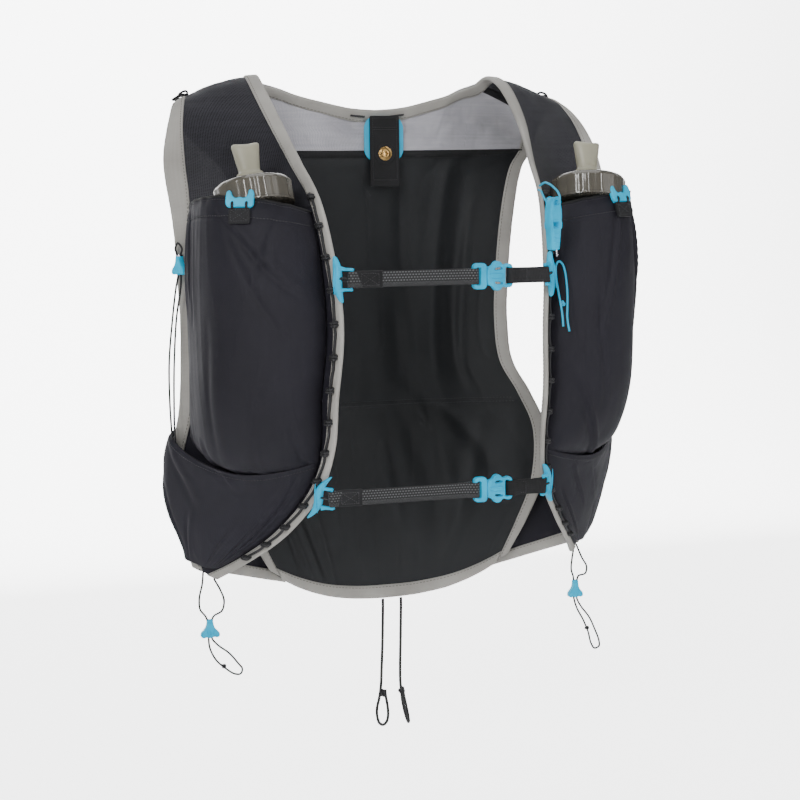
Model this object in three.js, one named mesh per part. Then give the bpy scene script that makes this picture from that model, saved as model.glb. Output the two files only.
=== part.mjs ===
// Running hydration vest, shown in the shape that it has when it is worn.
// Millimetres. Origin between the two shoulder contacts, +X to the wearer's left, +Y to the back, +Z up.
import * as THREE from 'three';

// Worn shape
const halfWidth = 190;          // middle of the vest to the side of a front panel
const bodyDepth = 200;          // front to back of the worn shape
const bodyHeight = 450;         // shoulder line to hem
const panelDent = 16;           // how far a full flask presses the front panel inwards
const backFold = 3.5;           // depth of the soft folds in the back panel
const yokeBulge = 4;            // slack of the mesh yoke at the neck
const packDepth = 26;           // how far the pack stands off the back panel

// Walls and gaps
const clearance = 0.3;          // gap between pieces that touch
const seamGap = 2;              // gap in a seam between two curved sheets
const bindingGap = 1.25;        // gap between the binding and the cloth inside it
const cornerEase = 2;           // more room inside a binding where it turns a corner
const clothWall = 2;            // panels, shoulder mesh and yoke
const pocketWall = 1.6;         // stretch pockets, pack and side wings
const bindingWidth = 10;        // folded edge binding, from edge to stitch line
const bindingWall = 1;

// Flask and its pocket
const flaskWidth = 58;
const flaskDepth = 54;
const capDiameter = 63;
const capHeight = 21;
const valveWidth = 23;
const valveDepth = 16;
const valveHeight = 31;
const pocketEase = 0.6;         // slack between flask and pocket
const zipRoom = 5;              // flat strip for the zip beside the bottle pocket
const lowerPocketDepth = 12;

// Lacing and rail clips
const laceDiameter = 2.2;
const knotDiameter = 3.8;
const knotPitch = 26;
const clipLength = 36;
const clipWidth = 10;
const clipDepth = 3.4;
const clipReach = 12.5;         // bar to the pin that holds the strap
const pinSize = 2.4;

// Chest straps and buckles
const webbingWidth = 12.5;
const webbingWall = 1.4;
const pinSpan = webbingWidth + 2 * (pinSize + clearance);
const buckleFrame = 11;         // length of the slotted frame
const buckleBody = 22;          // length of the buckle's body
const buckleHeight = 23;
const buckleDepth = 6;

// Small hardware
const hookWidth = 22;
const hookHeight = 14;
const tabWidth = 17;
const tabHeight = 13;
const whistleLength = 42;
const whistleWidth = 14;
const whistleDepth = 9;
const lockWidth = 15;
const lockHeight = 14;
const lockDepth = 9;
const lockHoleWidth = 8;        // room for both runs of a cord
const lockHoleDepth = 3.2;
const sliderLength = 12;
const sliderWidth = 6;
const neckTabWidth = 27;
const neckTabHeight = 62;
const neckTabSide = 6;          // the tab sits a little to the wearer's left
const snapDiameter = 12;
const neckPull = 0.4;           // how far the neck tab is drawn in towards the leaning yoke
const hangerWidth = 36;
const hangerHeight = 40;
const shoulderTab = 12;
const plateWall = 2;            // thin moulded and webbing pieces

// Cord thicknesses
const hemCordDiameter = 2.6;
const thinCordDiameter = 1.7;

// Front panel and shoulder strap, from the bottom corner over the shoulder.
// Edges are shares of half width, depth and height, and dent is a share of the panel dent.
const stripRows = [
  { inX: 0.857, inY: 0.025, inZ: -0.924, outX: 0.937, outY: 0.120, outZ: -0.909, dent: 0.0 },
  { inX: 0.747, inY: -0.165, inZ: -0.876, outX: 0.974, outY: 0.130, outZ: -0.853, dent: -0.2 },
  { inX: 0.626, inY: -0.330, inZ: -0.818, outX: 1.021, outY: 0.125, outZ: -0.776, dent: -0.4 },
  { inX: 0.511, inY: -0.460, inZ: -0.738, outX: 1.032, outY: 0.085, outZ: -0.693, dent: -0.7 },
  { inX: 0.468, inY: -0.555, inZ: -0.651, outX: 1.000, outY: 0.025, outZ: -0.611, dent: -1.0 },
  { inX: 0.463, inY: -0.605, inZ: -0.558, outX: 0.984, outY: -0.010, outZ: -0.529, dent: -1.0 },
  { inX: 0.447, inY: -0.640, inZ: -0.451, outX: 0.989, outY: -0.030, outZ: -0.433, dent: -1.0 },
  { inX: 0.458, inY: -0.620, inZ: -0.351, outX: 1.000, outY: -0.045, outZ: -0.333, dent: -1.0 },
  { inX: 0.489, inY: -0.495, inZ: -0.222, outX: 0.995, outY: -0.030, outZ: -0.218, dent: -1.0 },
  { inX: 0.521, inY: -0.295, inZ: -0.147, outX: 0.995, outY: 0.050, outZ: -0.142, dent: -0.8 },
  { inX: 0.553, inY: -0.085, inZ: -0.073, outX: 0.979, outY: 0.165, outZ: -0.083, dent: -0.2 },
  { inX: 0.568, inY: 0.150, inZ: -0.007, outX: 0.945, outY: 0.285, outZ: -0.042, dent: 0.2 },
  { inX: 0.563, inY: 0.290, inZ: 0.018, outX: 0.916, outY: 0.380, outZ: -0.030, dent: 0.3 },
  { inX: 0.553, inY: 0.360, inZ: 0.018, outX: 0.898, outY: 0.435, outZ: -0.038, dent: 0.3 },
  { inX: 0.532, inY: 0.395, inZ: 0.007, outX: 0.879, outY: 0.465, outZ: -0.060, dent: 0.3 },
];
const strapFrom = 8 / 14;       // where the panel ends and the shoulder mesh begins

// Back neck edge, from the middle to the shoulder strap
const neckRows = [
  { x: 0.000, y: 0.320, z: -0.047 },
  { x: 0.132, y: 0.320, z: -0.042 },
  { x: 0.253, y: 0.325, z: -0.030 },
  { x: 0.368, y: 0.345, z: -0.017 },
  { x: 0.442, y: 0.375, z: -0.004 },
];
const neckShare = 0.56;         // share of the yoke's top edge that is neck

// Back panel from the yoke down to the hem: half widths, and the depth and height of its middle and edge
const backRows = [
  { half: 0.774, edgeY: 0.350, midY: 0.315, edgeZ: -0.127, midZ: -0.129 },
  { half: 0.705, edgeY: 0.300, midY: 0.330, edgeZ: -0.167, midZ: -0.169 },
  { half: 0.653, edgeY: 0.270, midY: 0.355, edgeZ: -0.262, midZ: -0.262 },
  { half: 0.626, edgeY: 0.260, midY: 0.360, edgeZ: -0.367, midZ: -0.367 },
  { half: 0.616, edgeY: 0.250, midY: 0.350, edgeZ: -0.462, midZ: -0.462 },
  { half: 0.632, edgeY: 0.225, midY: 0.330, edgeZ: -0.542, midZ: -0.542 },
  { half: 0.705, edgeY: 0.180, midY: 0.305, edgeZ: -0.607, midZ: -0.607 },
  { half: 0.768, edgeY: 0.140, midY: 0.280, edgeZ: -0.682, midZ: -0.687 },
  { half: 0.747, edgeY: 0.120, midY: 0.250, edgeZ: -0.778, midZ: -0.800 },
  { half: 0.668, edgeY: 0.130, midY: 0.225, edgeZ: -0.860, midZ: -0.902 },
  { half: 0.574, edgeY: 0.145, midY: 0.205, edgeZ: -0.933, midZ: -1.004 },
];

// Upright folds in the back panel: place and width across, reach from top to bottom, depth of the fold
const backFolds = [
  { across: -0.55, width: 0.10, from: 0.15, to: 0.65, depth: 0.7 },
  { across: -0.15, width: 0.09, from: 0.35, to: 0.95, depth: -0.6 },
  { across: 0.18, width: 0.08, from: 0.10, to: 0.60, depth: 1.0 },
  { across: 0.42, width: 0.09, from: 0.20, to: 0.75, depth: -1.0 },
  { across: 0.62, width: 0.07, from: 0.05, to: 0.50, depth: 0.8 },
  { across: -0.50, width: 0.12, from: 0.65, to: 1.00, depth: -0.8 },
  { across: 0.35, width: 0.10, from: 0.70, to: 1.00, depth: 0.7 },
];

// Bottle pocket from its mouth down: place along the strip, bulge as a share of the flask pocket's depth,
// where across it bulges most, fullness of the bulge, how far its middle sags, and share of the zip's room
const bottlePocketRows = [
  { along: 0.552, bulge: 1.20, peak: 0.40, full: 0.62, sag: 0.000, room: 0.0 },
  { along: 0.532, bulge: 1.21, peak: 0.40, full: 0.56, sag: 0.000, room: 0.0 },
  { along: 0.490, bulge: 1.16, peak: 0.42, full: 0.52, sag: 0.000, room: 0.8 },
  { along: 0.440, bulge: 1.13, peak: 0.44, full: 0.50, sag: 0.000, room: 1.0 },
  { along: 0.390, bulge: 1.13, peak: 0.45, full: 0.50, sag: -0.002, room: 1.0 },
  { along: 0.345, bulge: 1.10, peak: 0.46, full: 0.50, sag: -0.006, room: 1.0 },
  { along: 0.305, bulge: 1.00, peak: 0.47, full: 0.52, sag: -0.012, room: 0.6 },
  { along: 0.278, bulge: 0.80, peak: 0.48, full: 0.60, sag: -0.020, room: 0.2 },
  { along: 0.262, bulge: 0.48, peak: 0.48, full: 0.70, sag: -0.026, room: 0.0 },
  { along: 0.255, bulge: 0.14, peak: 0.48, full: 0.90, sag: -0.030, room: 0.0 },
];

// Lower pocket from its hem down, as above with shares of its own depth
const lowerPocketRows = [
  { along: 0.245, bulge: 0.20, peak: 0.52, full: 0.85, sag: -0.030, room: 0.0 },
  { along: 0.232, bulge: 0.62, peak: 0.55, full: 0.65, sag: -0.028, room: 0.0 },
  { along: 0.205, bulge: 0.95, peak: 0.58, full: 0.52, sag: -0.022, room: 0.0 },
  { along: 0.170, bulge: 1.00, peak: 0.60, full: 0.48, sag: -0.014, room: 0.0 },
  { along: 0.130, bulge: 0.90, peak: 0.60, full: 0.48, sag: -0.006, room: 0.0 },
  { along: 0.095, bulge: 0.66, peak: 0.58, full: 0.55, sag: 0.000, room: 0.0 },
  { along: 0.062, bulge: 0.22, peak: 0.52, full: 0.80, sag: 0.000, room: 0.0 },
];

// Creases in the bottle pocket: two ends as places across and down, width across, depth in millimetres
const pocketCreases = [
  { fromU: 0.55, fromV: 0.02, toU: 0.72, toV: 0.60, width: 0.07, depth: 2.2 },
  { fromU: 0.22, fromV: 0.02, toU: 0.30, toV: 0.45, width: 0.06, depth: -1.4 },
  { fromU: 0.12, fromV: 0.45, toU: 0.45, toV: 0.95, width: 0.08, depth: -2.2 },
  { fromU: 0.80, fromV: 0.15, toU: 0.84, toV: 0.80, width: 0.07, depth: -1.6 },
];

// Flask from its shoulder down: place along the flask, width and depth as shares of its own
const flaskRows = [
  { along: 0.000, width: 0.70, depth: 0.78 },
  { along: 0.045, width: 0.92, depth: 0.92 },
  { along: 0.130, width: 1.00, depth: 1.00 },
  { along: 0.550, width: 1.00, depth: 1.00 },
  { along: 0.820, width: 0.96, depth: 0.92 },
  { along: 0.940, width: 0.80, depth: 0.66 },
  { along: 1.000, width: 0.52, depth: 0.36 },
];
const flaskAcross = 0.36;       // place of the flask across the front panel
const flaskTop = 0.560;         // place of its shoulder along the strip
const flaskBottom = 0.305;

// Bite valve from its collar up: place along the height, width and depth as shares of its own
const valveRows = [
  { along: 0.00, width: 1.00, depth: 1.38 },
  { along: 0.22, width: 1.00, depth: 1.38 },
  { along: 0.30, width: 0.78, depth: 0.95 },
  { along: 0.55, width: 0.86, depth: 0.95 },
  { along: 0.90, width: 1.00, depth: 0.90 },
  { along: 1.00, width: 0.84, depth: 0.62 },
];

// Routes of the free cords in millimetres, chosen by hand
const cordRoutes = {
  hem_cord_right: [
    [-5, 41, -454.8], [-5, 41, -461], [-5.4, 41, -478], [-6, 41, -498], [-7, 41, -518], [-7.8, 41, -534],
    [-9.4, 41, -545], [-11.9, 41, -556], [-11.6, 41, -564], [-9.6, 41, -569.6], [-6.4, 41, -571.4],
    [-3.3, 41, -569.4], [-1.5, 41, -563.6], [-1.9, 41, -554], [-3.4, 41, -545], [-3.9, 41, -539],
  ],
  hem_cord_left: [
    [12, 41, -454.7], [12, 41, -461], [11.6, 41, -478], [11.1, 41, -498], [10.7, 41.4, -516], [10.8, 42, -531],
    [12, 43.6, -542], [13.9, 46, -553], [15.6, 46, -561.6], [17, 44, -568.4], [17.6, 41, -571],
    [17.2, 37.8, -569.4], [15.9, 35.8, -563], [14, 35.8, -553], [12.4, 37.4, -543], [11.9, 38.2, -537],
  ],
  corner_cord_right: [
    [-172, 17, -412.2], [-173.2, 16, -422], [-176.4, 14, -434], [-176.2, 13, -443.5], [-171.4, 13, -450.5],
    [-169.5, 13, -457], [-169.5, 13, -468], [-168.6, 13, -478], [-163.5, 13, -489], [-155, 13, -497.5],
    [-147.5, 13, -502.8], [-142.3, 13, -503.2], [-140.7, 13, -499], [-144, 13, -494], [-152, 13, -484],
    [-161, 13, -476.5], [-166.6, 13, -469.5], [-166.8, 13, -457], [-164.6, 13, -450.5], [-157.5, 12, -446],
    [-155.6, 11, -437], [-158.5, 10, -428], [-164.5, 8, -416.6],
  ],
  corner_cord_left: [
    [166.7, 9, -415.6], [165.6, 10, -425], [165.8, 12, -435], [168.2, 13, -442], [168.5, 13, -449],
    [168.5, 13, -460], [171.6, 13, -471], [178, 13, -483], [183, 13, -495], [185.6, 13, -505],
    [189.2, 13, -510.6], [193.8, 13, -509], [193.6, 13, -503.4], [189.6, 13, -493], [184, 13, -481],
    [175.4, 13, -469.5], [171.5, 13, -461.5], [171.5, 13, -449], [173.2, 13, -441.6], [179.8, 13, -439.8],
    [181.6, 13.6, -433.6], [177.4, 15, -425], [172.4, 16.6, -412.4],
  ],
  side_cord: [
    [-197.6, 3.4, -304], [-198.4, -0.6, -292], [-200.2, -5.6, -262], [-200.4, -9.4, -228],
    [-197.2, -12.6, -192], [-194, -15.4, -166], [-192.5, -17.1, -157], [-192.5, -17.1, -141],
    [-193.8, -15.2, -134.6], [-192, -17.4, -130.2], [-189.3, -20.6, -134.6], [-190.3, -18.9, -141],
    [-190.3, -18.9, -157], [-191, -19.6, -166], [-194.6, -16.4, -192], [-197, -14, -228],
    [-197.4, -9.8, -262], [-196.6, -4.6, -292], [-195.2, -0.6, -304],
  ],
  whistle_cord: [
    [88.6, -106.5, -87.4], [88, -119, -85], [88.5, -127, -86], [89.5, -135, -89], [90.2, -141.5, -92.5],
    [90.6, -144.5, -96.5], [90.3, -144, -100], [89.7, -139.8, -100.6], [88.5, -136, -100.6], [87.2, -131.7, -100.6],
    [86.2, -128.5, -100], [85.4, -124.5, -97.5], [85, -121.3, -94], [85, -118, -91.5], [86, -110.5, -90.6],
  ],
  pull_cord: [
    [98.4, -132.5, -200], [98.2, -131.5, -192], [97.6, -130, -184], [96.6, -127.5, -174], [96, -124.5, -164],
    [96.2, -122, -156], [97.4, -120.4, -150.6], [100, -119.6, -148.2], [102.6, -120.6, -150.4],
    [104, -122.4, -156], [104.2, -125.4, -165], [103.6, -128.6, -175], [102.6, -131, -184],
    [101.8, -132.6, -192], [102.2, -133.4, -198], [103.2, -133.8, -204],
  ],
};

// Plain curves through tables

// A value of one column, smooth through all rows, at a place from 0 to 1
function columnAt(rows, column, place) {
  const last = rows.length - 1;
  const at = THREE.MathUtils.clamp(place, 0, 1) * last;
  const low = Math.min(Math.floor(at), last - 1);
  const f = at - low;
  const p1 = rows[low][column];
  const p2 = rows[low + 1][column];
  const p0 = low > 0 ? rows[low - 1][column] : 2 * p1 - p2;
  const p3 = low + 2 <= last ? rows[low + 2][column] : 2 * p2 - p1;
  const slopeIn = (p2 - p0) / 2;
  const slopeOut = (p3 - p1) / 2;
  const bend = 3 * (p2 - p1) - 2 * slopeIn - slopeOut;
  const twist = slopeIn + slopeOut - 2 * (p2 - p1);
  return p1 + slopeIn * f + bend * f * f + twist * f * f * f;
}

function rowAt(rows, place) {
  const row = {};
  for (const column of Object.keys(rows[0])) row[column] = columnAt(rows, column, place);
  return row;
}

function steps(count, from = 0, to = 1) {
  return Array.from({ length: count + 1 }, (_, i) => from + (to - from) * i / count);
}

// Places from 0 to 1 that crowd towards both ends
function crowdedSteps(count) {
  return steps(count).map((t) => (1 - Math.cos(Math.PI * t)) / 2);
}

// An arch that is 0 at both ends and 1 in the middle
function arch(t) {
  return Math.max(Math.sin(Math.PI * t), 0);
}

// A bump of height 1 at the middle, fading out over its width
function bump(distance, width) {
  return Math.exp(-((distance / width) ** 2));
}

// Surfaces of the worn shape. side is 1 for the wearer's left and -1 for the right.

function stripEnds(side, along) {
  const row = rowAt(stripRows, along);
  const inner = new THREE.Vector3(side * row.inX * halfWidth, row.inY * bodyDepth, row.inZ * bodyHeight);
  const outer = new THREE.Vector3(side * row.outX * halfWidth, row.outY * bodyDepth, row.outZ * bodyHeight);
  return { inner, outer, dent: row.dent * panelDent };
}

// Unit vector that points away from the body at a place along the strip
function stripOut(side, along) {
  const reach = 0.01;
  const here = stripEnds(side, along);
  const before = stripEnds(side, Math.max(along - reach, 0));
  const after = stripEnds(side, Math.min(along + reach, 1));
  const chord = here.outer.clone().sub(here.inner);
  const run = after.inner.add(after.outer).sub(before.inner).sub(before.outer);
  return chord.cross(run).multiplyScalar(side).normalize();
}

function stripPoint(side, across, along, lift = 0) {
  const { inner, outer, dent } = stripEnds(side, along);
  const out = stripOut(side, along);
  const bow = dent * 4 * across * (1 - across);
  return inner.lerp(outer, across).addScaledVector(out, bow + lift);
}

// A place on the straight line between the strip's edges, which the flask and the pockets follow
function chordPoint(side, across, along, lift = 0) {
  const { inner, outer } = stripEnds(side, along);
  return inner.lerp(outer, across).addScaledVector(stripOut(side, along), lift);
}

function stripWidth(along) {
  const { inner, outer } = stripEnds(1, along);
  return inner.distanceTo(outer);
}

const stripLength = (() => {
  const places = steps(stripRows.length - 1);
  const middles = places.map((along) => chordPoint(1, 0.5, along));
  return middles.slice(1).reduce((sum, point, i) => sum + point.distanceTo(middles[i]), 0);
})();

// Half of the gap between the front panel and the shoulder strap, as a share of the strip's length
const seamShare = clearance / 2 / stripLength;

function backPoint(across, down) {
  const row = rowAt(backRows, down);
  const away = Math.abs(across);
  let y = (row.midY + (row.edgeY - row.midY) * away ** 2) * bodyDepth;
  for (const fold of backFolds) {
    const middle = (fold.from + fold.to) / 2;
    const fade = bump(down - middle, (fold.to - fold.from) / 2);
    const calmEdge = 1 - away ** 4;
    y += backFold * fold.depth * bump(across - fold.across, fold.width) * fade * calmEdge;
  }
  const z = (row.midZ + (row.edgeZ - row.midZ) * away ** 2.5) * bodyHeight;
  return new THREE.Vector3(across * row.half * halfWidth, y, z);
}

const neckCurves = {};
for (const side of [-1, 1]) {
  const points = neckRows.map((row) => new THREE.Vector3(
    side * row.x * halfWidth, row.y * bodyDepth, row.z * bodyHeight));
  points.push(stripPoint(side, 0, 1));
  neckCurves[side] = new THREE.CatmullRomCurve3(points, false, 'centripetal');
}

// The yoke's upper edge: the neck in the middle and the ends of the shoulder straps beside it
function yokeTop(across) {
  const side = across < 0 ? -1 : 1;
  const away = Math.abs(across);
  if (away <= neckShare) return neckCurves[side].getPoint(away / neckShare);
  return stripPoint(side, (away - neckShare) / (1 - neckShare), 1);
}

// The way in which the shoulder straps run down into the yoke
function strapRun(side) {
  const reach = 0.03;
  return chordPoint(side, 0.5, 1).sub(chordPoint(side, 0.5, 1 - reach)).normalize();
}

// The yoke leaves the straps in their own direction and meets the back panel in its direction
function yokePoint(across, down) {
  const side = across < 0 ? -1 : 1;
  const top = yokeTop(across);
  const bottom = backPoint(across, 0);
  const drop = bottom.clone().sub(top);
  const length = drop.length();
  const nearShoulder = THREE.MathUtils.smoothstep(Math.abs(across), neckShare / 2, neckShare);
  const plain = drop.clone().add(new THREE.Vector3(0, 4 * yokeBulge, 0));
  const start = plain.lerp(strapRun(side).multiplyScalar(1.3 * length), nearShoulder);
  const under = backPoint(across, 0.05).sub(bottom).normalize();
  const finish = under.multiplyScalar(length);
  const from = nearShoulder === 1 ? seamGap / length : 0;
  const t = from + (1 - seamGap / length - from) * down;
  const t2 = t * t;
  const t3 = t2 * t;
  return top.multiplyScalar(2 * t3 - 3 * t2 + 1).addScaledVector(start, t3 - 2 * t2 + t)
    .addScaledVector(bottom, 3 * t2 - 2 * t3).addScaledVector(finish, t3 - t2);
}

// Distance from the panel's middle to the middle of a pocket wall that lies on it
const pocketSeat = clothWall / 2 + clearance + pocketWall / 2;
const dentAtFlask = 0.9 * panelDent;
const flaskLift = flaskDepth / 2 - dentAtFlask + clothWall / 2 + 2 * clearance + pocketEase;
const capEase = 2.5;            // room between a flask cap and the shoulder strap
const capLift = capDiameter / 2 - dentAtFlask + clothWall / 2 + capEase;
const pocketOverhang = 4;       // how far the inner side of a pocket leans over its seam
const bottlePocketDepth = flaskLift + flaskDepth / 2 + pocketEase - pocketSeat + pocketWall / 2;

function pocketPoint(side, rows, depth, creases, acrossPocket, v) {
  const u = THREE.MathUtils.clamp(acrossPocket, 0, 1);
  const row = rowAt(rows, v);
  const along = row.along + row.sag * 4 * u * (1 - u);
  const width = stripWidth(along);
  const outerInset = (bindingWidth + seamGap + pocketWall / 2) / width;
  const innerInset = outerInset + row.room * zipRoom / width;
  const lean = row.room * pocketOverhang / width * arch(Math.min(2 * u, 1));
  const across = innerInset + (1 - innerInset - outerInset) * u - lean;
  const skewed = u ** (Math.log(0.5) / Math.log(row.peak));
  let lift = pocketSeat + depth * row.bulge * arch(skewed) ** row.full;
  for (const crease of creases) {
    const reach = THREE.MathUtils.clamp((v - crease.fromV) / (crease.toV - crease.fromV), 0, 1);
    const middle = crease.fromU + (crease.toU - crease.fromU) * reach;
    const fade = arch(reach) * arch(u);
    lift += crease.depth * fade * bump(u - middle, crease.width);
  }
  const onPanel = stripPoint(side, across, along);
  const onChord = chordPoint(side, across, along);
  const blend = arch(u) ** 0.5;
  return onPanel.lerp(onChord, blend).addScaledVector(stripOut(side, along), lift);
}

function bottlePocketPoint(side, u, v) {
  return pocketPoint(side, bottlePocketRows, bottlePocketDepth, pocketCreases, u, v);
}

function lowerPocketPoint(side, u, v) {
  return pocketPoint(side, lowerPocketRows, lowerPocketDepth, [], u, v);
}

// Sheets are the same surfaces, with their outer columns and rows kept for the binding
const edgeColumn = 0.1;

// Place across a sheet, where the first and last columns are as wide as the binding
function besideBinding(place, margin) {
  if (place < edgeColumn) return place / edgeColumn * margin;
  if (place > 1 - edgeColumn) return 1 - (1 - place) / edgeColumn * margin;
  return margin + (place - edgeColumn) / (1 - 2 * edgeColumn) * (1 - 2 * margin);
}

function stripSheet(side) {
  return (place, along) => stripPoint(side, besideBinding(place, bindingWidth / stripWidth(along)), along);
}

function backSheet(place, down) {
  const width = 2 * columnAt(backRows, 'half', down) * halfWidth;
  const across = besideBinding((place + 1) / 2, bindingWidth / width);
  return backPoint(2 * across - 1, down);
}

// Unit normal of a surface, by a small step each way
function normalAt(surface, u, v) {
  const reach = 0.004;
  const du = surface(Math.min(u + reach, 1), v).sub(surface(Math.max(u - reach, -1), v));
  const dv = surface(u, Math.min(v + reach, 1)).sub(surface(u, Math.max(v - reach, 0)));
  return du.cross(dv).normalize();
}

// Meshes made of points and faces

// A closed body whose faces are turned to point out
function bodyFrom(points, faces) {
  let volume = 0;
  for (const [a, b, c] of faces) volume += points[a].dot(points[b].clone().cross(points[c]));
  const turned = volume < 0 ? faces.map(([a, b, c]) => [a, c, b]) : faces;
  const geometry = new THREE.BufferGeometry();
  geometry.setAttribute('position', new THREE.Float32BufferAttribute(points.flatMap((p) => p.toArray()), 3));
  geometry.setIndex(turned.flat());
  geometry.computeVertexNormals();
  return geometry;
}

// A wall of even thickness around a surface, sampled at the given places
function wall(surface, placesU, placesV, thickness) {
  const points = [];
  const columns = placesV.length;
  for (const layer of [1, -1]) {
    for (const u of placesU) {
      for (const v of placesV) {
        const normal = normalAt(surface, u, v);
        points.push(surface(u, v).addScaledVector(normal, layer * thickness / 2));
      }
    }
  }
  const index = (layer, i, j) => (layer * placesU.length + i) * columns + j;
  const faces = [];
  const quad = (a, b, c, d) => faces.push([a, b, c], [a, c, d]);
  for (let i = 0; i < placesU.length - 1; i += 1) {
    for (let j = 0; j < columns - 1; j += 1) {
      quad(index(0, i, j), index(0, i + 1, j), index(0, i + 1, j + 1), index(0, i, j + 1));
      quad(index(1, i, j), index(1, i, j + 1), index(1, i + 1, j + 1), index(1, i + 1, j));
    }
  }
  const endU = placesU.length - 1;
  const endV = columns - 1;
  for (let i = 0; i < endU; i += 1) {
    quad(index(0, i, 0), index(1, i, 0), index(1, i + 1, 0), index(0, i + 1, 0));
    quad(index(0, i, endV), index(0, i + 1, endV), index(1, i + 1, endV), index(1, i, endV));
  }
  for (let j = 0; j < endV; j += 1) {
    quad(index(0, 0, j), index(0, 0, j + 1), index(1, 0, j + 1), index(1, 0, j));
    quad(index(0, endU, j), index(1, endU, j), index(1, endU, j + 1), index(0, endU, j + 1));
  }
  return bodyFrom(points, faces);
}

// Rings of equal point count joined into one body with closed ends
function skin(rings) {
  const count = rings[0].length;
  const points = rings.flat();
  const faces = [];
  for (let r = 0; r < rings.length - 1; r += 1) {
    for (let i = 0; i < count; i += 1) {
      const a = r * count + i;
      const b = r * count + (i + 1) % count;
      faces.push([a, b, b + count], [a, b + count, a + count]);
    }
  }
  const outline = flatOutline(rings[0]);
  const caps = THREE.ShapeUtils.triangulateShape(outline, []);
  const last = (rings.length - 1) * count;
  for (const [a, b, c] of caps) faces.push([c, b, a], [a + last, b + last, c + last]);
  return bodyFrom(points, faces);
}

// A ring's points in its own plane, seen so that they run counterclockwise
function flatOutline(ring) {
  const centre = ring.reduce((sum, p) => sum.add(p), new THREE.Vector3()).divideScalar(ring.length);
  const axis = new THREE.Vector3();
  ring.forEach((p, i) => {
    const next = ring[(i + 1) % ring.length];
    axis.add(p.clone().sub(centre).cross(next.clone().sub(centre)));
  });
  const x = ring[0].clone().sub(centre).normalize();
  const y = axis.normalize().cross(x);
  return ring.map((p) => {
    const arm = p.clone().sub(centre);
    return new THREE.Vector2(arm.dot(x), arm.dot(y));
  });
}

// Binding: cloth folded over an edge. Each station has the edge point, the way into the cloth and its normal.
const bindingFace = clothWall / 2 + bindingGap + bindingWall;

function binding(stations, cloth = clothWall) {
  const inner = cloth / 2 + bindingGap;
  const outer = inner + bindingWall;
  const fold = -bindingGap - bindingWall;
  const profile = [
    [fold, -inner], [fold, inner], [-bindingGap, outer], [bindingWidth, outer],
    [bindingWidth, inner], [-bindingGap, inner], [-bindingGap, -inner], [bindingWidth, -inner],
    [bindingWidth, -outer], [-bindingGap, -outer],
  ];
  return skin(stations.map(({ edge, into, normal, ease = 0 }) => profile.map(([a, b]) => (
    edge.clone().addScaledVector(into, a).addScaledVector(normal, b + ease * Math.sign(b))))));
}

// A station on the edge of a sheet, with the way in found from the column or row just inside the binding
function edgeStation(sheet, u, v, insideU, insideV) {
  const edge = sheet(u, v);
  const into = sheet(insideU, insideV).sub(edge).normalize();
  const normal = normalAt(sheet, u, v);
  normal.addScaledVector(into, -into.dot(normal)).normalize();
  return { edge, into, normal };
}

function stripEdge(side, across, along) {
  const station = edgeStation(stripSheet(side), across, along, across === 0 ? edgeColumn : 1 - edgeColumn, along);
  if (station.normal.dot(stripOut(side, along)) < 0) station.normal.negate();
  return station;
}

// One station halfway between two, where one sheet goes over into the next
function blendStations(first, second) {
  const normal = second.normal.clone();
  if (normal.dot(first.normal) < 0) normal.negate();
  const edge = first.edge.clone().lerp(second.edge, 0.5);
  const into = first.into.clone().add(second.into).normalize();
  normal.add(first.normal);
  normal.addScaledVector(into, -into.dot(normal)).normalize();
  return { edge, into, normal, ease: cornerEase };
}

// Keeps the normals of neighbouring stations on one side
function alignStations(stations) {
  for (let i = 1; i < stations.length; i += 1) {
    if (stations[i].normal.dot(stations[i - 1].normal) < 0) stations[i].normal.negate();
  }
  return stations;
}

// Cords: a smooth curve through its points, with a ring at each place
function cordBody(curve, places, radiusAt, sides) {
  let previous = curve.getTangentAt(places[0]);
  const start = Math.abs(previous.z) < 0.9 ? new THREE.Vector3(0, 0, 1) : new THREE.Vector3(0, 1, 0);
  let normal = start.addScaledVector(previous, -start.dot(previous)).normalize();
  const rings = places.map((place, index) => {
    const tangent = curve.getTangentAt(place);
    const turn = new THREE.Quaternion().setFromUnitVectors(previous, tangent);
    normal = normal.clone().applyQuaternion(turn).normalize();
    previous = tangent;
    const across = tangent.clone().cross(normal);
    const centre = curve.getPointAt(place);
    const radius = radiusAt(index, place);
    return Array.from({ length: sides }, (_, i) => {
      const angle = 2 * Math.PI * i / sides;
      return centre.clone().addScaledVector(normal, radius * Math.cos(angle))
        .addScaledVector(across, radius * Math.sin(angle));
    });
  });
  return skin(rings);
}

function freeCord(name, diameter, count) {
  const points = cordRoutes[name].map(([x, y, z]) => new THREE.Vector3(x, y, z));
  const curve = new THREE.CatmullRomCurve3(points, false, 'centripetal');
  return cordBody(curve, steps(count), () => diameter / 2, 8);
}

// Flat outlines pushed out into plates

function shapeFrom(corners, holes = []) {
  const shape = new THREE.Shape(corners.map(([x, y]) => new THREE.Vector2(x, y)));
  for (const hole of holes) shape.holes.push(new THREE.Path(hole.map(([x, y]) => new THREE.Vector2(x, y))));
  return shape;
}

function roundedRectangle(width, height, radius, centreX = 0, centreY = 0) {
  const corners = [];
  const arms = [[1, 1], [-1, 1], [-1, -1], [1, -1]];
  arms.forEach(([sx, sy], quarter) => {
    for (const t of steps(2)) {
      const angle = (quarter + t) * Math.PI / 2;
      corners.push([
        centreX + sx * (width / 2 - radius) + radius * Math.cos(angle),
        centreY + sy * (height / 2 - radius) + radius * Math.sin(angle),
      ]);
    }
  });
  return corners;
}

function plate(corners, depth, holes = []) {
  const options = { depth, bevelEnabled: false };
  const geometry = new THREE.ExtrudeGeometry(shapeFrom(corners, holes), options);
  geometry.translate(0, 0, -depth / 2);
  return geometry;
}

// The vest itself
const vest = new THREE.Group();

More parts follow.
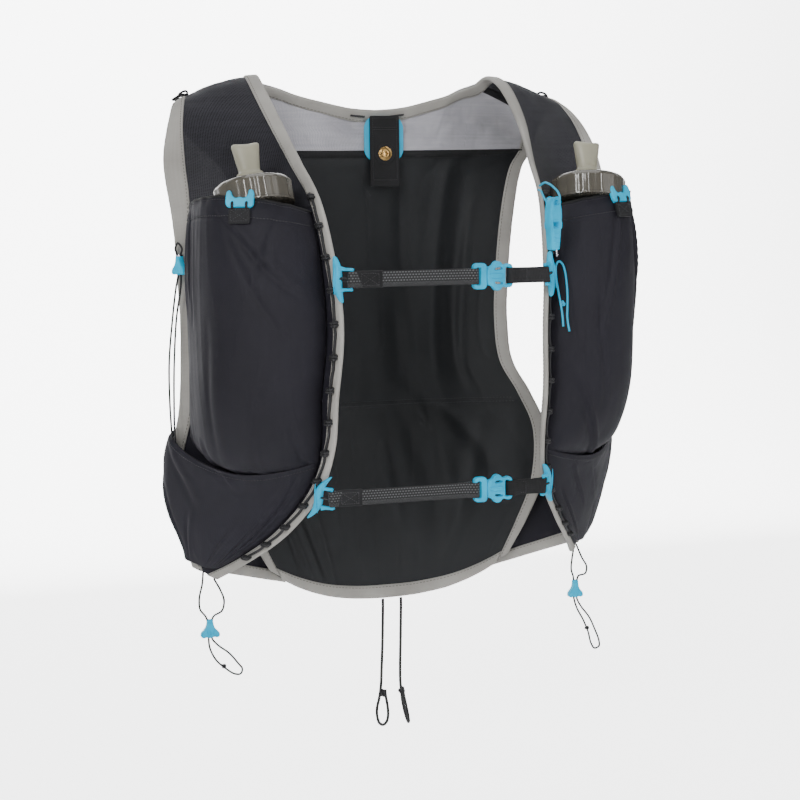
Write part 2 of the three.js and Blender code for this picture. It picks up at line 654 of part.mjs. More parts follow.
const looks = {
  cloth: { color: 0x25242b, roughness: 0.85, metalness: 0 },
  mesh: { color: 0x34333a, roughness: 0.9, metalness: 0 },
  sheer: { color: 0xbebbc3, roughness: 0.9, metalness: 0 },
  binding: { color: 0xa8a6a0, roughness: 0.8, metalness: 0 },
  webbing: { color: 0x1d1d20, roughness: 0.8, metalness: 0 },
  cord: { color: 0x16161a, roughness: 0.7, metalness: 0 },
  cyan: { color: 0x12b4e0, roughness: 0.4, metalness: 0 },
  smoke: { color: 0x4b483e, roughness: 0.25, metalness: 0 },
  valve: { color: 0xc8c3af, roughness: 0.45, metalness: 0 },
  flask: { color: 0x9a9a92, roughness: 0.4, metalness: 0 },
  brass: { color: 0xb98a45, roughness: 0.35, metalness: 1 },
  silver: { color: 0xb5b5ba, roughness: 0.3, metalness: 1 },
};

function add(name, geometry, look) {
  const mesh = new THREE.Mesh(geometry, new THREE.MeshStandardMaterial(looks[look]));
  mesh.name = name;
  vest.add(mesh);
  return mesh;
}

// Places a mesh with its own x, y and z axes along the given directions
function placeMesh(mesh, origin, xAxis, yAxis, zAxis) {
  const basis = new THREE.Matrix4().makeBasis(xAxis, yAxis, zAxis);
  mesh.quaternion.setFromRotationMatrix(basis);
  mesh.position.copy(origin);
}

// A frame on a surface: z away from the body, y as upright as the surface allows
function surfaceFrame(point, out) {
  const zAxis = out.clone().normalize();
  const yAxis = new THREE.Vector3(0, 0, 1);
  yAxis.addScaledVector(zAxis, -yAxis.dot(zAxis)).normalize();
  const xAxis = yAxis.clone().cross(zAxis);
  return { point, xAxis, yAxis, zAxis };
}

function placeOn(mesh, frame, x, y, z) {
  const origin = frame.point.clone().addScaledVector(frame.xAxis, x)
    .addScaledVector(frame.yAxis, y).addScaledVector(frame.zAxis, z);
  placeMesh(mesh, origin, frame.xAxis, frame.yAxis, frame.zAxis);
}

const sides = [{ name: 'left', side: 1 }, { name: 'right', side: -1 }];

// Panels, shoulder mesh and yoke
const panelPlaces = steps(13, 0, strapFrom);
const strapPlaces = steps(9, strapFrom, 1);
const edgePlaces = [...panelPlaces, ...strapPlaces.slice(1)];
const neckPlaces = steps(8, -neckShare, neckShare);
const backPlaces = [...steps(11).slice(0, -1).map((t) => t * 0.97), 0.975, 1];
const yokeMargin = 0.26;        // share of the yoke's height under the neck binding
const yokeSide = 0.94;          // where its side binding ends
const yokePlacesDown = [0, yokeMargin, 0.6, 1];

function sheetPlaces(count) {
  return [0, ...steps(count, edgeColumn, 1 - edgeColumn), 1];
}

function addCloth() {
  for (const { name, side } of sides) {
    const panelEnds = panelPlaces.map((t, i) => (i === panelPlaces.length - 1 ? t - seamShare : t));
    const strapEnds = strapPlaces.map((t, i) => (i === 0 ? t + seamShare : t));
    add(`front_panel_${name}`, wall(stripSheet(side), sheetPlaces(4), panelEnds, clothWall), 'cloth');
    add(`front_strap_${name}`, wall(stripSheet(side), sheetPlaces(2), strapEnds, clothWall), 'mesh');
  }
  const shoulder = [(neckShare + yokeSide) / 2, yokeSide, 1];
  const yokePlaces = [...shoulder.map((u) => -u).reverse(), ...neckPlaces, ...shoulder];
  add('back_yoke', wall(yokePoint, yokePlaces, yokePlacesDown, clothWall), 'sheer');
  const backAcross = sheetPlaces(14).map((t) => 2 * t - 1);
  add('back_panel', wall(backSheet, backAcross, backPlaces, clothWall), 'cloth');
}

// Binding along the front edges and round the neck, the armholes and the hem
function frontStations(side) {
  return edgePlaces.map((along) => stripEdge(side, 0, along));
}

function addBindings() {
  const neckStation = (u) => edgeStation(yokePoint, u, 0, u, yokeMargin);
  const corner = (side) => blendStations(stripEdge(side, 0, 1), neckStation(side * neckShare));
  const neck = [
    ...frontStations(-1).slice(0, -1), corner(-1), ...neckPlaces.slice(1, -1).map(neckStation),
    corner(1), ...frontStations(1).slice(0, -1).reverse(),
  ];
  add('neck_binding', binding(alignStations(neck)), 'binding');

  for (const { name, side } of sides) {
    const inward = side * (1 - 2 * edgeColumn);
    const yokeStation = (down) => edgeStation(yokePoint, side, down, side * yokeSide, down);
    const backStation = (down) => edgeStation(backSheet, side, down, inward, down);
    const stations = [
      ...edgePlaces.slice(0, -1).map((along) => stripEdge(side, 1, along)),
      blendStations(stripEdge(side, 1, 1), yokeStation(0)),
      ...yokePlacesDown.slice(1, -1).map(yokeStation),
      blendStations(yokeStation(1), backStation(0)),
      ...backPlaces.slice(1).map(backStation),
    ];
    add(`armhole_binding_${name}`, binding(alignStations(stations)), 'binding');
  }

  const hemPlaces = sheetPlaces(14).slice(1, -1).map((t) => 2 * t - 1);
  const hemStation = (u) => edgeStation(backSheet, u, 1, u, 0.975);
  const hem = hemPlaces.map(hemStation);
  add('hem_binding', binding(alignStations(hem)), 'binding');
}

// Side wings from the lower back panel to the bottom corner of the front panel
const wingTop = 0.72;           // place down the back panel where a wing begins
const wingLean = 0.17;          // place along the strip where its upper corner meets the front panel
const wingInset = 0.86;         // place across the back panel where it is sewn on
const wingHem = 0.9;            // place down the wing where its hem binding begins
const sewnLift = bindingFace + clearance + pocketWall / 2;
const wingLift = sewnLift + bindingGap + bindingWall;

function wingPoint(side, across, down) {
  const backPlace = wingTop + (1 - wingTop) * down;
  const backNormal = normalAt(backPoint, side * wingInset, backPlace);
  const onBack = backPoint(side * wingInset, backPlace).addScaledVector(backNormal, wingLift);
  const along = wingLean * (1 - down);
  const frontAcross = 1 - (bindingWidth / 2) / stripWidth(along);
  const onFront = stripPoint(side, frontAcross, along, -sewnLift);
  const slack = pocketWall * 4 * across * (1 - across);
  return onBack.lerp(onFront, across).add(new THREE.Vector3(side * slack, slack, 0));
}

function addWings() {
  for (const { name, side } of sides) {
    const surface = (u, v) => wingPoint(side, u, v);
    const downPlaces = [...steps(4, 0, wingHem), 1];
    add(`side_wing_${name}`, wall(surface, steps(5), downPlaces, pocketWall), 'cloth');
    const hem = steps(5).map((u) => edgeStation(surface, u, 1, u, wingHem));
    add(`wing_binding_${name}`, binding(alignStations(hem), pocketWall), 'binding');
  }
}

// Pack on the outside of the back panel, open at its top
const packTop = 0.10;
const packBottom = 0.955;
const packAcross = 0.80;
const packEase = 0.5;           // room where the pack is sewn to the folds of the back panel

function packPoint(across, down) {
  const place = packTop + (packBottom - packTop) * down;
  const u = across * packAcross;
  const normal = normalAt(backPoint, u, place);
  const rise = arch(0.22 + 0.78 * down) ** 0.6;
  const lift = pocketSeat + packEase + packDepth * rise * (1 - across ** 4);
  return backPoint(u, place).addScaledVector(normal, lift);
}

function addPack() {
  const across = crowdedSteps(10).map((t) => 2 * t - 1);
  add('back_pack', wall(packPoint, across, steps(8), pocketWall), 'cloth');
}

// Pockets, with the soft flask, its cap and bite valve in each bottle pocket

// Middle of the flask at a place from its shoulder down
function flaskMiddle(side, down) {
  const along = flaskTop + (flaskBottom - flaskTop) * down;
  const lift = flaskLift + (capLift - flaskLift) * Math.max(1 - 4 * down, 0);
  return chordPoint(side, flaskAcross, along, lift);
}

function flaskFrame(side, down) {
  const reach = 0.08;
  const yAxis = flaskMiddle(side, down - reach).sub(flaskMiddle(side, down + reach)).normalize();
  const zAxis = stripOut(side, flaskTop + (flaskBottom - flaskTop) * down);
  zAxis.addScaledVector(yAxis, -zAxis.dot(yAxis)).normalize();
  return { point: flaskMiddle(side, down), xAxis: yAxis.clone().cross(zAxis), yAxis, zAxis };
}

// The same frame turned about its y axis, so that its x axis lies across the body
function turnedForward({ point, yAxis }) {
  const xAxis = new THREE.Vector3(1, 0, 0);
  xAxis.addScaledVector(yAxis, -yAxis.dot(xAxis)).normalize();
  return { point, xAxis, yAxis, zAxis: xAxis.clone().cross(yAxis) };
}

function ovalRing(width, depth, corners, spot) {
  return Array.from({ length: corners }, (_, i) => {
    const angle = 2 * Math.PI * i / corners;
    return spot(width / 2 * Math.cos(angle), depth / 2 * Math.sin(angle));
  });
}

function addPockets() {
  for (const { name, side } of sides) {
    const bottle = (u, v) => bottlePocketPoint(side, u, v);
    const lower = (u, v) => lowerPocketPoint(side, u, v);
    add(`bottle_pocket_${name}`, wall(bottle, crowdedSteps(11), steps(12), pocketWall), 'cloth');
    add(`lower_pocket_${name}`, wall(lower, crowdedSteps(9), steps(7), pocketWall), 'cloth');
  }
}

function addFlasks() {
  const capProfile = [[0, 0], [0.5, 0], [0.5, 0.78], [0.44, 1], [0, 1]];
  for (const { name, side } of sides) {
    const flaskRings = flaskRows.map((row) => {
      const { point, xAxis, zAxis } = flaskFrame(side, row.along);
      return ovalRing(row.width * flaskWidth, row.depth * flaskDepth, 14, (x, z) => (
        point.clone().addScaledVector(xAxis, x).addScaledVector(zAxis, z)));
    });
    add(`flask_${name}`, skin(flaskRings), 'flask');
    const top = flaskFrame(side, 0);
    const capPoints = capProfile.map(([r, h]) => new THREE.Vector2(r * capDiameter, h * capHeight));
    const cap = add(`flask_cap_${name}`, new THREE.LatheGeometry(capPoints, 20), 'smoke');
    placeOn(cap, top, 0, clearance, 0);
    const valveRings = valveRows.map((row) => ovalRing(row.width * valveWidth, row.depth * valveDepth, 12, (x, z) => (
      new THREE.Vector3(x, row.along * valveHeight, z))));
    const valve = add(`bite_valve_${name}`, skin(valveRings), 'valve');
    placeOn(valve, turnedForward(top), 0, capHeight + 2 * clearance, 0);
  }
}

// Lacing: one cord along each front edge, with a knot wherever it goes through the binding
const laceLift = bindingFace + clearance + knotDiameter / 2;
const laceInset = 4.5;          // from the panel's edge to the lacing
const clipShift = 5;            // from the panel's edge towards the middle
const clipRun = 0.03;           // reach along the strip over which a clip finds the edge's slope
const laceFrom = 0.075;
const laceTo = 0.585;

// The front edge between its stations, as straight as the binding is there
function edgeAt(stations, along) {
  const next = Math.max(edgePlaces.findIndex((place) => place >= along), 1);
  const share = (along - edgePlaces[next - 1]) / (edgePlaces[next] - edgePlaces[next - 1]);
  const mix = (key) => stations[next - 1][key].clone().lerp(stations[next][key], share);
  return { edge: mix('edge'), into: mix('into').normalize(), normal: mix('normal').normalize() };
}

function onEdge(stations, along, inset, lift) {
  const { edge, into, normal } = edgeAt(stations, along);
  return edge.addScaledVector(into, inset).addScaledVector(normal, lift);
}

function addLacing() {
  for (const { name, side } of sides) {
    const stations = frontStations(side);
    const route = steps(40, laceFrom, laceTo).map((along) => onEdge(stations, along, laceInset, laceLift));
    const curve = new THREE.CatmullRomCurve3(route);
    const knots = Math.round(curve.getLength() / knotPitch);
    const halfKnot = 0.5 * knotDiameter / curve.getLength();
    const places = [];
    const radii = [];
    for (const middle of steps(knots, 2 * halfKnot, 1 - 2 * halfKnot)) {
      places.push(middle - 1.4 * halfKnot, middle - 0.5 * halfKnot, middle + 0.5 * halfKnot, middle + 1.4 * halfKnot);
      radii.push(laceDiameter / 2, knotDiameter / 2, knotDiameter / 2, laceDiameter / 2);
    }
    add(`lacing_${name}`, cordBody(curve, places, (index) => radii[index], 5), 'cord');
  }
}

// Rail clips, chest straps and buckles
const clipSink = 2.9;           // how far a clip's bar reaches down between two knots
const clipLift = laceLift + knotDiameter / 2 + clipDepth / 2 - clipSink;
const chestLevels = {
  upper: { along: 7 / 14, buckleX: 35 },
  lower: { along: 3 / 14, buckleX: 46 },
};

// The clip lies in its own x and y: the bar over the lacing, two arms and the pin at x = clipReach
function clipOutline(lean) {
  const shear = (x, y) => [x + y * Math.tan(lean) * (Math.abs(y) / (clipLength / 2)), y];
  const half = clipLength / 2;
  const bow = clipWidth * 0.15;
  const backEdge = steps(6).map((t) => {
    const y = -half + clipLength * t;
    return shear(-clipWidth / 2 - bow * (1 - (y / half) ** 2), y);
  });
  const arm = pinSpan / 2;
  const front = clipWidth / 2;
  const tip = clipReach + pinSize / 2;
  const edge = [
    shear(0, half), shear(front * 0.9, half * 0.8), [front, arm], [tip, arm], [tip, -arm], [front, -arm],
    shear(front * 0.9, -half * 0.8), shear(0, -half),
  ];
  return [...edge.slice(0, -1), edge.at(-1), ...backEdge];
}

function clipWindow() {
  const top = pinSpan / 2 - pinSize;
  const near = clipWidth / 2;
  const far = clipReach - pinSize / 2;
  return [[near, -top], [far, -top], [far, top], [near, top]];
}

// The clip lies on the lacing: x level and towards the middle, y up along the panel, z away from it
function clipFrame(side, level) {
  const stations = frontStations(side);
  const { along } = chestLevels[level];
  const { edge } = edgeAt(stations, along);
  const run = onEdge(stations, along + clipRun, 0, 0).sub(onEdge(stations, along - clipRun, 0, 0)).normalize();
  const out = stripOut(side, along);
  out.addScaledVector(run, -run.dot(out)).normalize();
  const up = new THREE.Vector3(0, 0, 1);
  const inwards = out.clone().cross(up).normalize();
  if (inwards.x * side > 0) inwards.negate();
  const yAxis = up.addScaledVector(out, -up.dot(out)).normalize();
  const point = edge.addScaledVector(out, clipLift).addScaledVector(inwards, clipShift);
  return { point, inwards, yAxis, out };
}

// Lean of the lacing at a clip, as an angle in the clip's plane
function clipLean(side, level, frame) {
  const { along } = chestLevels[level];
  const stations = frontStations(side);
  const run = onEdge(stations, along + clipRun, 0, 0).sub(onEdge(stations, along - clipRun, 0, 0));
  return Math.atan2(run.dot(frame.inwards), run.dot(frame.yAxis));
}

function addClips() {
  for (const { name, side } of sides) {
    for (const level of Object.keys(chestLevels)) {
      const frame = clipFrame(side, level);
      const outline = clipOutline(clipLean(side, level, frame));
      const clip = add(`rail_clip_${level}_${name}`, plate(outline, clipDepth, [clipWindow()]), 'cyan');
      const zAxis = frame.inwards.clone().cross(frame.yAxis);
      placeMesh(clip, frame.point, frame.inwards, frame.yAxis, zAxis);
    }
  }
}

function pinPoint(side, level) {
  const { point, inwards } = clipFrame(side, level);
  return point.clone().addScaledVector(inwards, clipReach);
}

const pinEye = Math.hypot(pinSize, clipDepth) / 2 + clearance;   // half opening of an eye round a clip's pin
const barEye = pinSize / 2 + clearance;                          // half opening of an eye round a buckle's bar
const slotGap = webbingWall + 2 * clearance;

// A webbing seen from above, with an eye round an upright bar at each end
function webbingShape(ends) {
  const line = ends[1].spot.clone().sub(ends[0].spot).normalize();
  const across = new THREE.Vector2(-line.y, line.x);
  const spotAt = (base, a, b) => base.clone().addScaledVector(line, a).addScaledVector(across, b).toArray();
  const t = webbingWall / 2;
  const outline = [];
  const holes = [];
  ends.forEach(({ spot, gap, half }, index) => {
    const sign = index === 0 ? 1 : -1;
    const out = gap + webbingWall;
    const high = half + webbingWall;
    const corners = [
      [out * 1.3, -t], [out * 0.7, -high], [-out * 0.6, -high], [-out, -half * 0.6],
      [-out, half * 0.6], [-out * 0.6, high], [out * 0.7, high], [out * 1.3, t],
    ];
    outline.push(...corners.map(([a, b]) => spotAt(spot, sign * a, sign * b)));
    const hole = [[-gap, -half], [gap, -half], [gap, half], [-gap, half]];
    holes.push(hole.map(([a, b]) => spotAt(spot, a, b)));
  });
  return { outline, holes };
}

// Strap between two upright bars, standing upright across its width and leaning as its bars lean
function addWebbing(name, ends) {
  const flatEnds = ends.map((end) => ({ ...end, spot: new THREE.Vector2(end.point.x, end.point.y) }));
  const { outline, holes } = webbingShape(flatEnds);
  const geometry = plate(outline, webbingWidth, holes);
  const position = geometry.getAttribute('position');
  const [from, to] = ends;
  for (let i = 0; i < position.count; i += 1) {
    const share = (position.getX(i) - from.point.x) / (to.point.x - from.point.x);
    const lean = from.lean.clone().lerp(to.lean, THREE.MathUtils.clamp(share, 0, 1));
    const height = position.getZ(i);
    const level = from.point.z + (to.point.z - from.point.z) * share;
    position.setXYZ(i, position.getX(i) + lean.x * height, position.getY(i) + lean.y * height, level + height);
  }
  add(name, geometry, 'webbing');
}

function addStraps() {
  for (const level of Object.keys(chestLevels)) {
    const rightPin = pinPoint(-1, level);
    const leftPin = pinPoint(1, level);
    const middle = new THREE.Vector3();
    middle.lerpVectors(rightPin, leftPin, (chestLevels[level].buckleX - rightPin.x) / (leftPin.x - rightPin.x));
    const total = buckleFrame + clearance + buckleBody;
    const start = middle.x - total / 2;
    const bar = pinSize;
    const slot = slotGap + webbingWall;
    const slotHeight = webbingWidth + 2 * clearance;

    const slotHole = (x) => {
      const [low, high] = [-slotHeight / 2, slotHeight / 2];
      return [[x, low], [x + slot, low], [x + slot, high], [x, high]];
    };
    const frameOutline = roundedRectangle(buckleFrame, buckleHeight * 0.86, 2.5);
    const frameGeometry = plate(frameOutline, buckleDepth, [slotHole(-buckleFrame / 2 + bar)]);
    const frameMesh = add(`buckle_frame_${level}`, frameGeometry, 'cyan');
    const half = buckleBody / 2;
    const tall = buckleHeight / 2;
    const bodyOutline = [
      [half - 2, -tall * 0.8], [half, -tall * 0.65], [half, tall * 0.65], [half - 2, tall * 0.8],
      [half * 0.35, tall * 0.86], [0, tall], [-half * 0.45, tall], [-half * 0.6, tall * 0.74],
      [-half, tall * 0.68], [-half, -tall * 0.68], [-half * 0.6, -tall * 0.74], [-half * 0.45, -tall],
      [0, -tall], [half * 0.35, -tall * 0.86],
    ];
    const bodyGeometry = plate(bodyOutline, buckleDepth, [slotHole(half - bar - slot)]);
    const bodyMesh = add(`buckle_body_${level}`, bodyGeometry, 'cyan');
    const xAxis = new THREE.Vector3(1, 0, 0);
    const yAxis = new THREE.Vector3(0, 0, 1);
    const zAxis = new THREE.Vector3(0, -1, 0);
    placeMesh(frameMesh, new THREE.Vector3(start + buckleFrame / 2, middle.y, middle.z), xAxis, yAxis, zAxis);
    const bodyX = start + buckleFrame + clearance + half;
    placeMesh(bodyMesh, new THREE.Vector3(bodyX, middle.y, middle.z), xAxis, yAxis, zAxis);

    const frameBar = new THREE.Vector3(start + bar / 2, middle.y, middle.z);
    const bodyBar = new THREE.Vector3(start + total - bar / 2, middle.y, middle.z);
    const barHalf = buckleDepth / 2 + clearance;
    const upright = new THREE.Vector3(0, 0, 1);
    const pinEnd = (side, point) => {
      const { yAxis: lean } = clipFrame(side, level);
      return { point, lean: lean.clone().divideScalar(lean.z), gap: pinEye, half: pinEye };
    };
    const barEnd = (point) => ({ point, lean: upright, gap: barEye, half: barHalf });
    addWebbing(`chest_strap_${level}`, [pinEnd(-1, rightPin), barEnd(frameBar)]);
    addWebbing(`short_strap_${level}`, [barEnd(bodyBar), pinEnd(1, leftPin)]);
  }
}

// Tab and hook at the mouth of each bottle pocket
const hookRoom = 0.7;           // room between the flat tab and the round pocket
const hookLift = pocketWall / 2 + clearance + plateWall / 2 + hookRoom;
const hookPlace = { u: 0.30, v: 0.05 };

function addPocketHooks() {
  for (const { name, side } of sides) {
    const surface = (u, v) => bottlePocketPoint(side, u, v);
    const { u, v } = hookPlace;
    const normal = normalAt(surface, u, v);
    if (normal.dot(stripOut(side, strapFrom)) < 0) normal.negate();
    const frame = surfaceFrame(surface(u, v), normal);
    const tab = add(`mouth_tab_${name}`, plate(roundedRectangle(tabWidth, tabHeight, 1.5), plateWall), 'webbing');
    placeOn(tab, frame, 0, -tabHeight / 2, hookLift);
    const w = hookWidth / 2;
    const h = hookHeight;
    const outline = [
      [-w * 0.75, 0], [w * 0.75, 0], [w, h * 0.35], [w * 0.85, h * 0.95], [w * 0.6, h], [w * 0.5, h * 0.62],
      [-w * 0.5, h * 0.55], [-w * 0.62, h * 0.92], [-w * 0.9, h * 0.88], [-w, h * 0.3],
    ];
    const hook = add(`pocket_hook_${name}`, plate(outline, plateWall), 'cyan');
    placeOn(hook, frame, 0, clearance, hookLift);
  }
}

// Cord locks with a hole for both runs of their cord
function cordLock(width, height, depth) {
  const w = width / 2;
  const outline = [
    [-w, -depth * 0.2], [-w * 0.6, -depth / 2], [w * 0.6, -depth / 2], [w, -depth * 0.2],
    [w, depth * 0.2], [w * 0.6, depth / 2], [-w * 0.6, depth / 2], [-w, depth * 0.2],
  ];
  const hole = roundedRectangle(lockHoleWidth, lockHoleDepth, lockHoleDepth * 0.45);
  return plate(outline, height, [hole]);
}

function addCords() {
  const locks = [
    { name: 'corner_lock_right', x: -168, y: 13, z: -462, turn: 0, narrow: 1 },
    { name: 'corner_lock_left', x: 170, y: 13, z: -454, turn: 0, narrow: 0.85 },
    { name: 'side_lock', x: -191.1, y: -17.6, z: -149, turn: 2.27, narrow: 0.8 },
  ];
  for (const lock of locks) {
    const body = cordLock(lockWidth * lock.narrow, lockHeight, lockDepth * lock.narrow);
    const mesh = add(lock.name, body, 'cyan');
    mesh.rotation.z = lock.turn;
    mesh.position.set(lock.x, lock.y, lock.z);
  }
  add('hem_cord_right', freeCord('hem_cord_right', hemCordDiameter, 13), 'cord');
  add('hem_cord_left', freeCord('hem_cord_left', hemCordDiameter, 13), 'cord');
  add('corner_cord_right', freeCord('corner_cord_right', thinCordDiameter, 17), 'cord');
  add('corner_cord_left', freeCord('corner_cord_left', thinCordDiameter, 17), 'cord');
  add('side_cord', freeCord('side_cord', thinCordDiameter, 14), 'cord');
}

// Whistle on its short cord, in front of the left pocket's inner side: where its upper end is and the way it faces
const whistlePlace = { x: 88.5, y: -136, z: -96.5, facingX: 0.3, facingY: -0.954 };

function addWhistle() {
  const w = whistleWidth / 2;
  const outline = [
    [-w * 0.72, -whistleLength], [w * 0.72, -whistleLength], [w, -whistleLength * 0.82], [w, -whistleLength * 0.22],
    [w * 0.5, 0], [-w * 0.5, 0], [-w, -whistleLength * 0.22], [-w, -whistleLength * 0.82],
  ];
  const eye = roundedRectangle(thinCordDiameter * 2.4, thinCordDiameter * 2.4, 1.6, 0, -3.6);
  const mouth = roundedRectangle(w, w * 0.8, 1, 0, -whistleLength * 0.5);
  const whistle = add('whistle', plate(outline, whistleDepth, [eye, mouth]), 'cyan');
  const { x, y, z } = whistlePlace;
  const facing = new THREE.Vector3(whistlePlace.facingX, whistlePlace.facingY, 0);
  placeOn(whistle, surfaceFrame(new THREE.Vector3(x, y, z), facing), 0, 0, 0);
  add('whistle_cord', freeCord('whistle_cord', thinCordDiameter, 10), 'cyan');
}

// Slider beside the binding of the left front edge, with its pull cord
const sliderPlace = { along: 0.522, inset: 6, lift: 9 };

function addSlider() {
  const outline = roundedRectangle(sliderWidth, sliderLength, 2);
  const eye = roundedRectangle(3.2, 3.2, 1, 0, -2);
  const slider = add('zip_slider', plate(outline, plateWall, [eye]), 'silver');
  const stations = frontStations(1);
  const { along, inset, lift } = sliderPlace;
  const frame = surfaceFrame(onEdge(stations, along, inset, lift), edgeAt(stations, along).normal);
  placeOn(slider, frame, 0, 0, 0);
  add('pull_cord', freeCord('pull_cord', thinCordDiameter, 11), 'cyan');
}

// Neck tab with its snap and the hanger behind it, and a tab on each shoulder
function addTabs() {
  const frame = surfaceFrame(yokePoint(neckTabSide / halfWidth, 0), new THREE.Vector3(0, -1, 0));
  frame.point.z -= neckTabHeight / 2 + bindingWidth * 0.4;
  const hangerLift = bindingFace + clearance + plateWall / 2 - neckPull;
  const hanger = add('neck_hanger', plate(roundedRectangle(hangerWidth, hangerHeight, 6), plateWall), 'cyan');
  placeOn(hanger, frame, 0, (neckTabHeight - hangerHeight) / 2, hangerLift);
  const tabLift = hangerLift + plateWall + clearance;
  const tab = add('neck_tab', plate(roundedRectangle(neckTabWidth, neckTabHeight, 2), plateWall), 'webbing');
  placeOn(tab, frame, 0, 0, tabLift);
  const r = snapDiameter / 2;
  const button = [[0, 0], [r, 0], [r, 0.8], [r * 0.6, 1.6], [r * 0.45, 2.4], [0, 2.6]];
  const snap = add('neck_snap', new THREE.LatheGeometry(button.map(([x, y]) => new THREE.Vector2(x, y)), 12), 'brass');
  const seat = frame.point.clone().addScaledVector(frame.zAxis, tabLift + plateWall / 2 + clearance);
  placeMesh(snap, seat, frame.xAxis, frame.zAxis, frame.yAxis.clone().negate());

  for (const { name, side } of sides) {
    const along = 12.6 / 14;
    const across = 1 - (bindingWidth * 0.4) / stripWidth(along);
    const out = stripOut(side, along);
    const shoulder = surfaceFrame(stripPoint(side, across, along), out);
    const outline = roundedRectangle(shoulderTab, shoulderTab, 2);
    const eye = roundedRectangle(shoulderTab * 0.5, shoulderTab * 0.28, 1.2);
    const loop = add(`shoulder_tab_${name}`, plate(outline, plateWall, [eye]), 'webbing');
    placeOn(loop, shoulder, side * 2, 0, bindingFace + clearance + plateWall / 2 + 0.8);
  }
}

addCloth();
addBindings();
addWings();
addPack();
addPockets();
addFlasks();
addLacing();
addClips();
addStraps();
addPocketHooks();
addCords();
addWhistle();
addSlider();
addTabs();

export default vest;
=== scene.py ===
# Looks of the running hydration vest: cloth, webbing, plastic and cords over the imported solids.
import math
import bmesh
import bpy
import numpy as np
from mathutils import Matrix, Vector


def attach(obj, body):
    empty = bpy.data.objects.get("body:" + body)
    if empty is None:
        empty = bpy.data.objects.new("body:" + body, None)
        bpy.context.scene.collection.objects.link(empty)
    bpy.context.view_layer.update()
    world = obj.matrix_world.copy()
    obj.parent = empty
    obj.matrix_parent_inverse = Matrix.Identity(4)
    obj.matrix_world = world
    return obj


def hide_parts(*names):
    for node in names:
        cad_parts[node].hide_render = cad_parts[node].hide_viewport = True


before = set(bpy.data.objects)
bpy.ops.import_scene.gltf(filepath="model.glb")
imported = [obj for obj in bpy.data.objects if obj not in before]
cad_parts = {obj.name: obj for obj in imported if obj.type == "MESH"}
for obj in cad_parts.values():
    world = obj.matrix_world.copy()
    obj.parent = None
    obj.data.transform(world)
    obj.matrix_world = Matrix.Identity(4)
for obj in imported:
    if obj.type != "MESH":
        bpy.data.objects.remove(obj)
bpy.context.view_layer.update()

MM = 0.001

# Camera at the photograph's angle: degrees, metres and the lens and sensor in millimetres
AZIMUTH, ELEVATION, ROLL = math.radians(-17), math.radians(7), math.radians(-0.7)
TARGET, DISTANCE, FAR = Vector((0, 0, -0.27)), 1.5, 20
LENS, SENSOR, SHIFT = 78.0, 36.0, 0.00125


def add_camera():
    data = bpy.data.cameras.new("camera")
    camera = bpy.data.objects.new("camera", data)
    bpy.context.scene.collection.objects.link(camera)
    bpy.context.scene.camera = camera
    data.lens, data.sensor_width, data.shift_x, data.clip_end = LENS, SENSOR, SHIFT, FAR
    level = math.cos(ELEVATION)
    back_way = Vector((math.sin(AZIMUTH) * level, -math.cos(AZIMUTH) * level, math.sin(ELEVATION)))
    camera.location = TARGET + back_way * DISTANCE
    camera.rotation_mode = "QUATERNION"
    turn = (-back_way).to_track_quat("-Z", "Y")
    camera.rotation_quaternion = Matrix.Rotation(ROLL, 3, back_way).to_quaternion() @ turn


add_camera()

# Surfaces of the worn vest, in millimetres
HALF, DEPTH, HEIGHT = 190.0, 200.0, 450.0
DENT, BACK_FOLD, YOKE_BULGE, PACK_DEPTH = 16.0, 3.5, 4.0, 26.0
CLOTH, POCKET_WALL, BINDING, BIND_GAP, BIND_WALL = 2.0, 1.6, 10.0, 1.25, 1.0
GAP, SEAM_GAP = 0.3, 2.0
PLATE, PACK_EASE, NECK_PULL, HOOK_ROOM = 2.0, 0.5, 0.4, 0.7
STRAP_FROM = 8 / 14
NECK_SHARE = 0.56
SEAT = CLOTH / 2 + GAP + POCKET_WALL / 2
BIND_FACE = CLOTH / 2 + BIND_GAP + BIND_WALL

# Front strip from hem to shoulder, as shares: inner edge x, y, z, outer edge x, y, z, dent
STRIP = np.array([
    [0.857, 0.025, -0.924, 0.937, 0.120, -0.909, 0.0], [0.747, -0.165, -0.876, 0.974, 0.130, -0.853, -0.2],
    [0.626, -0.330, -0.818, 1.021, 0.125, -0.776, -0.4], [0.511, -0.460, -0.738, 1.032, 0.085, -0.693, -0.7],
    [0.468, -0.555, -0.651, 1.000, 0.025, -0.611, -1.0], [0.463, -0.605, -0.558, 0.984, -0.010, -0.529, -1.0],
    [0.447, -0.640, -0.451, 0.989, -0.030, -0.433, -1.0],
    [0.458, -0.620, -0.351, 1.000, -0.045, -0.333, -1.0],
    [0.489, -0.495, -0.222, 0.995, -0.030, -0.218, -1.0], [0.521, -0.295, -0.147, 0.995, 0.050, -0.142, -0.8],
    [0.553, -0.085, -0.073, 0.979, 0.165, -0.083, -0.2], [0.568, 0.150, -0.007, 0.945, 0.285, -0.042, 0.2],
    [0.563, 0.290, 0.018, 0.916, 0.380, -0.030, 0.3], [0.553, 0.360, 0.018, 0.898, 0.435, -0.038, 0.3],
    [0.532, 0.395, 0.007, 0.879, 0.465, -0.060, 0.3]])
# Neck edge of the yoke from the middle, as shares: x, y, z
NECK = np.array([[0.000, 0.320, -0.047], [0.132, 0.320, -0.042], [0.253, 0.325, -0.030],
                 [0.368, 0.345, -0.017], [0.442, 0.375, -0.004]])
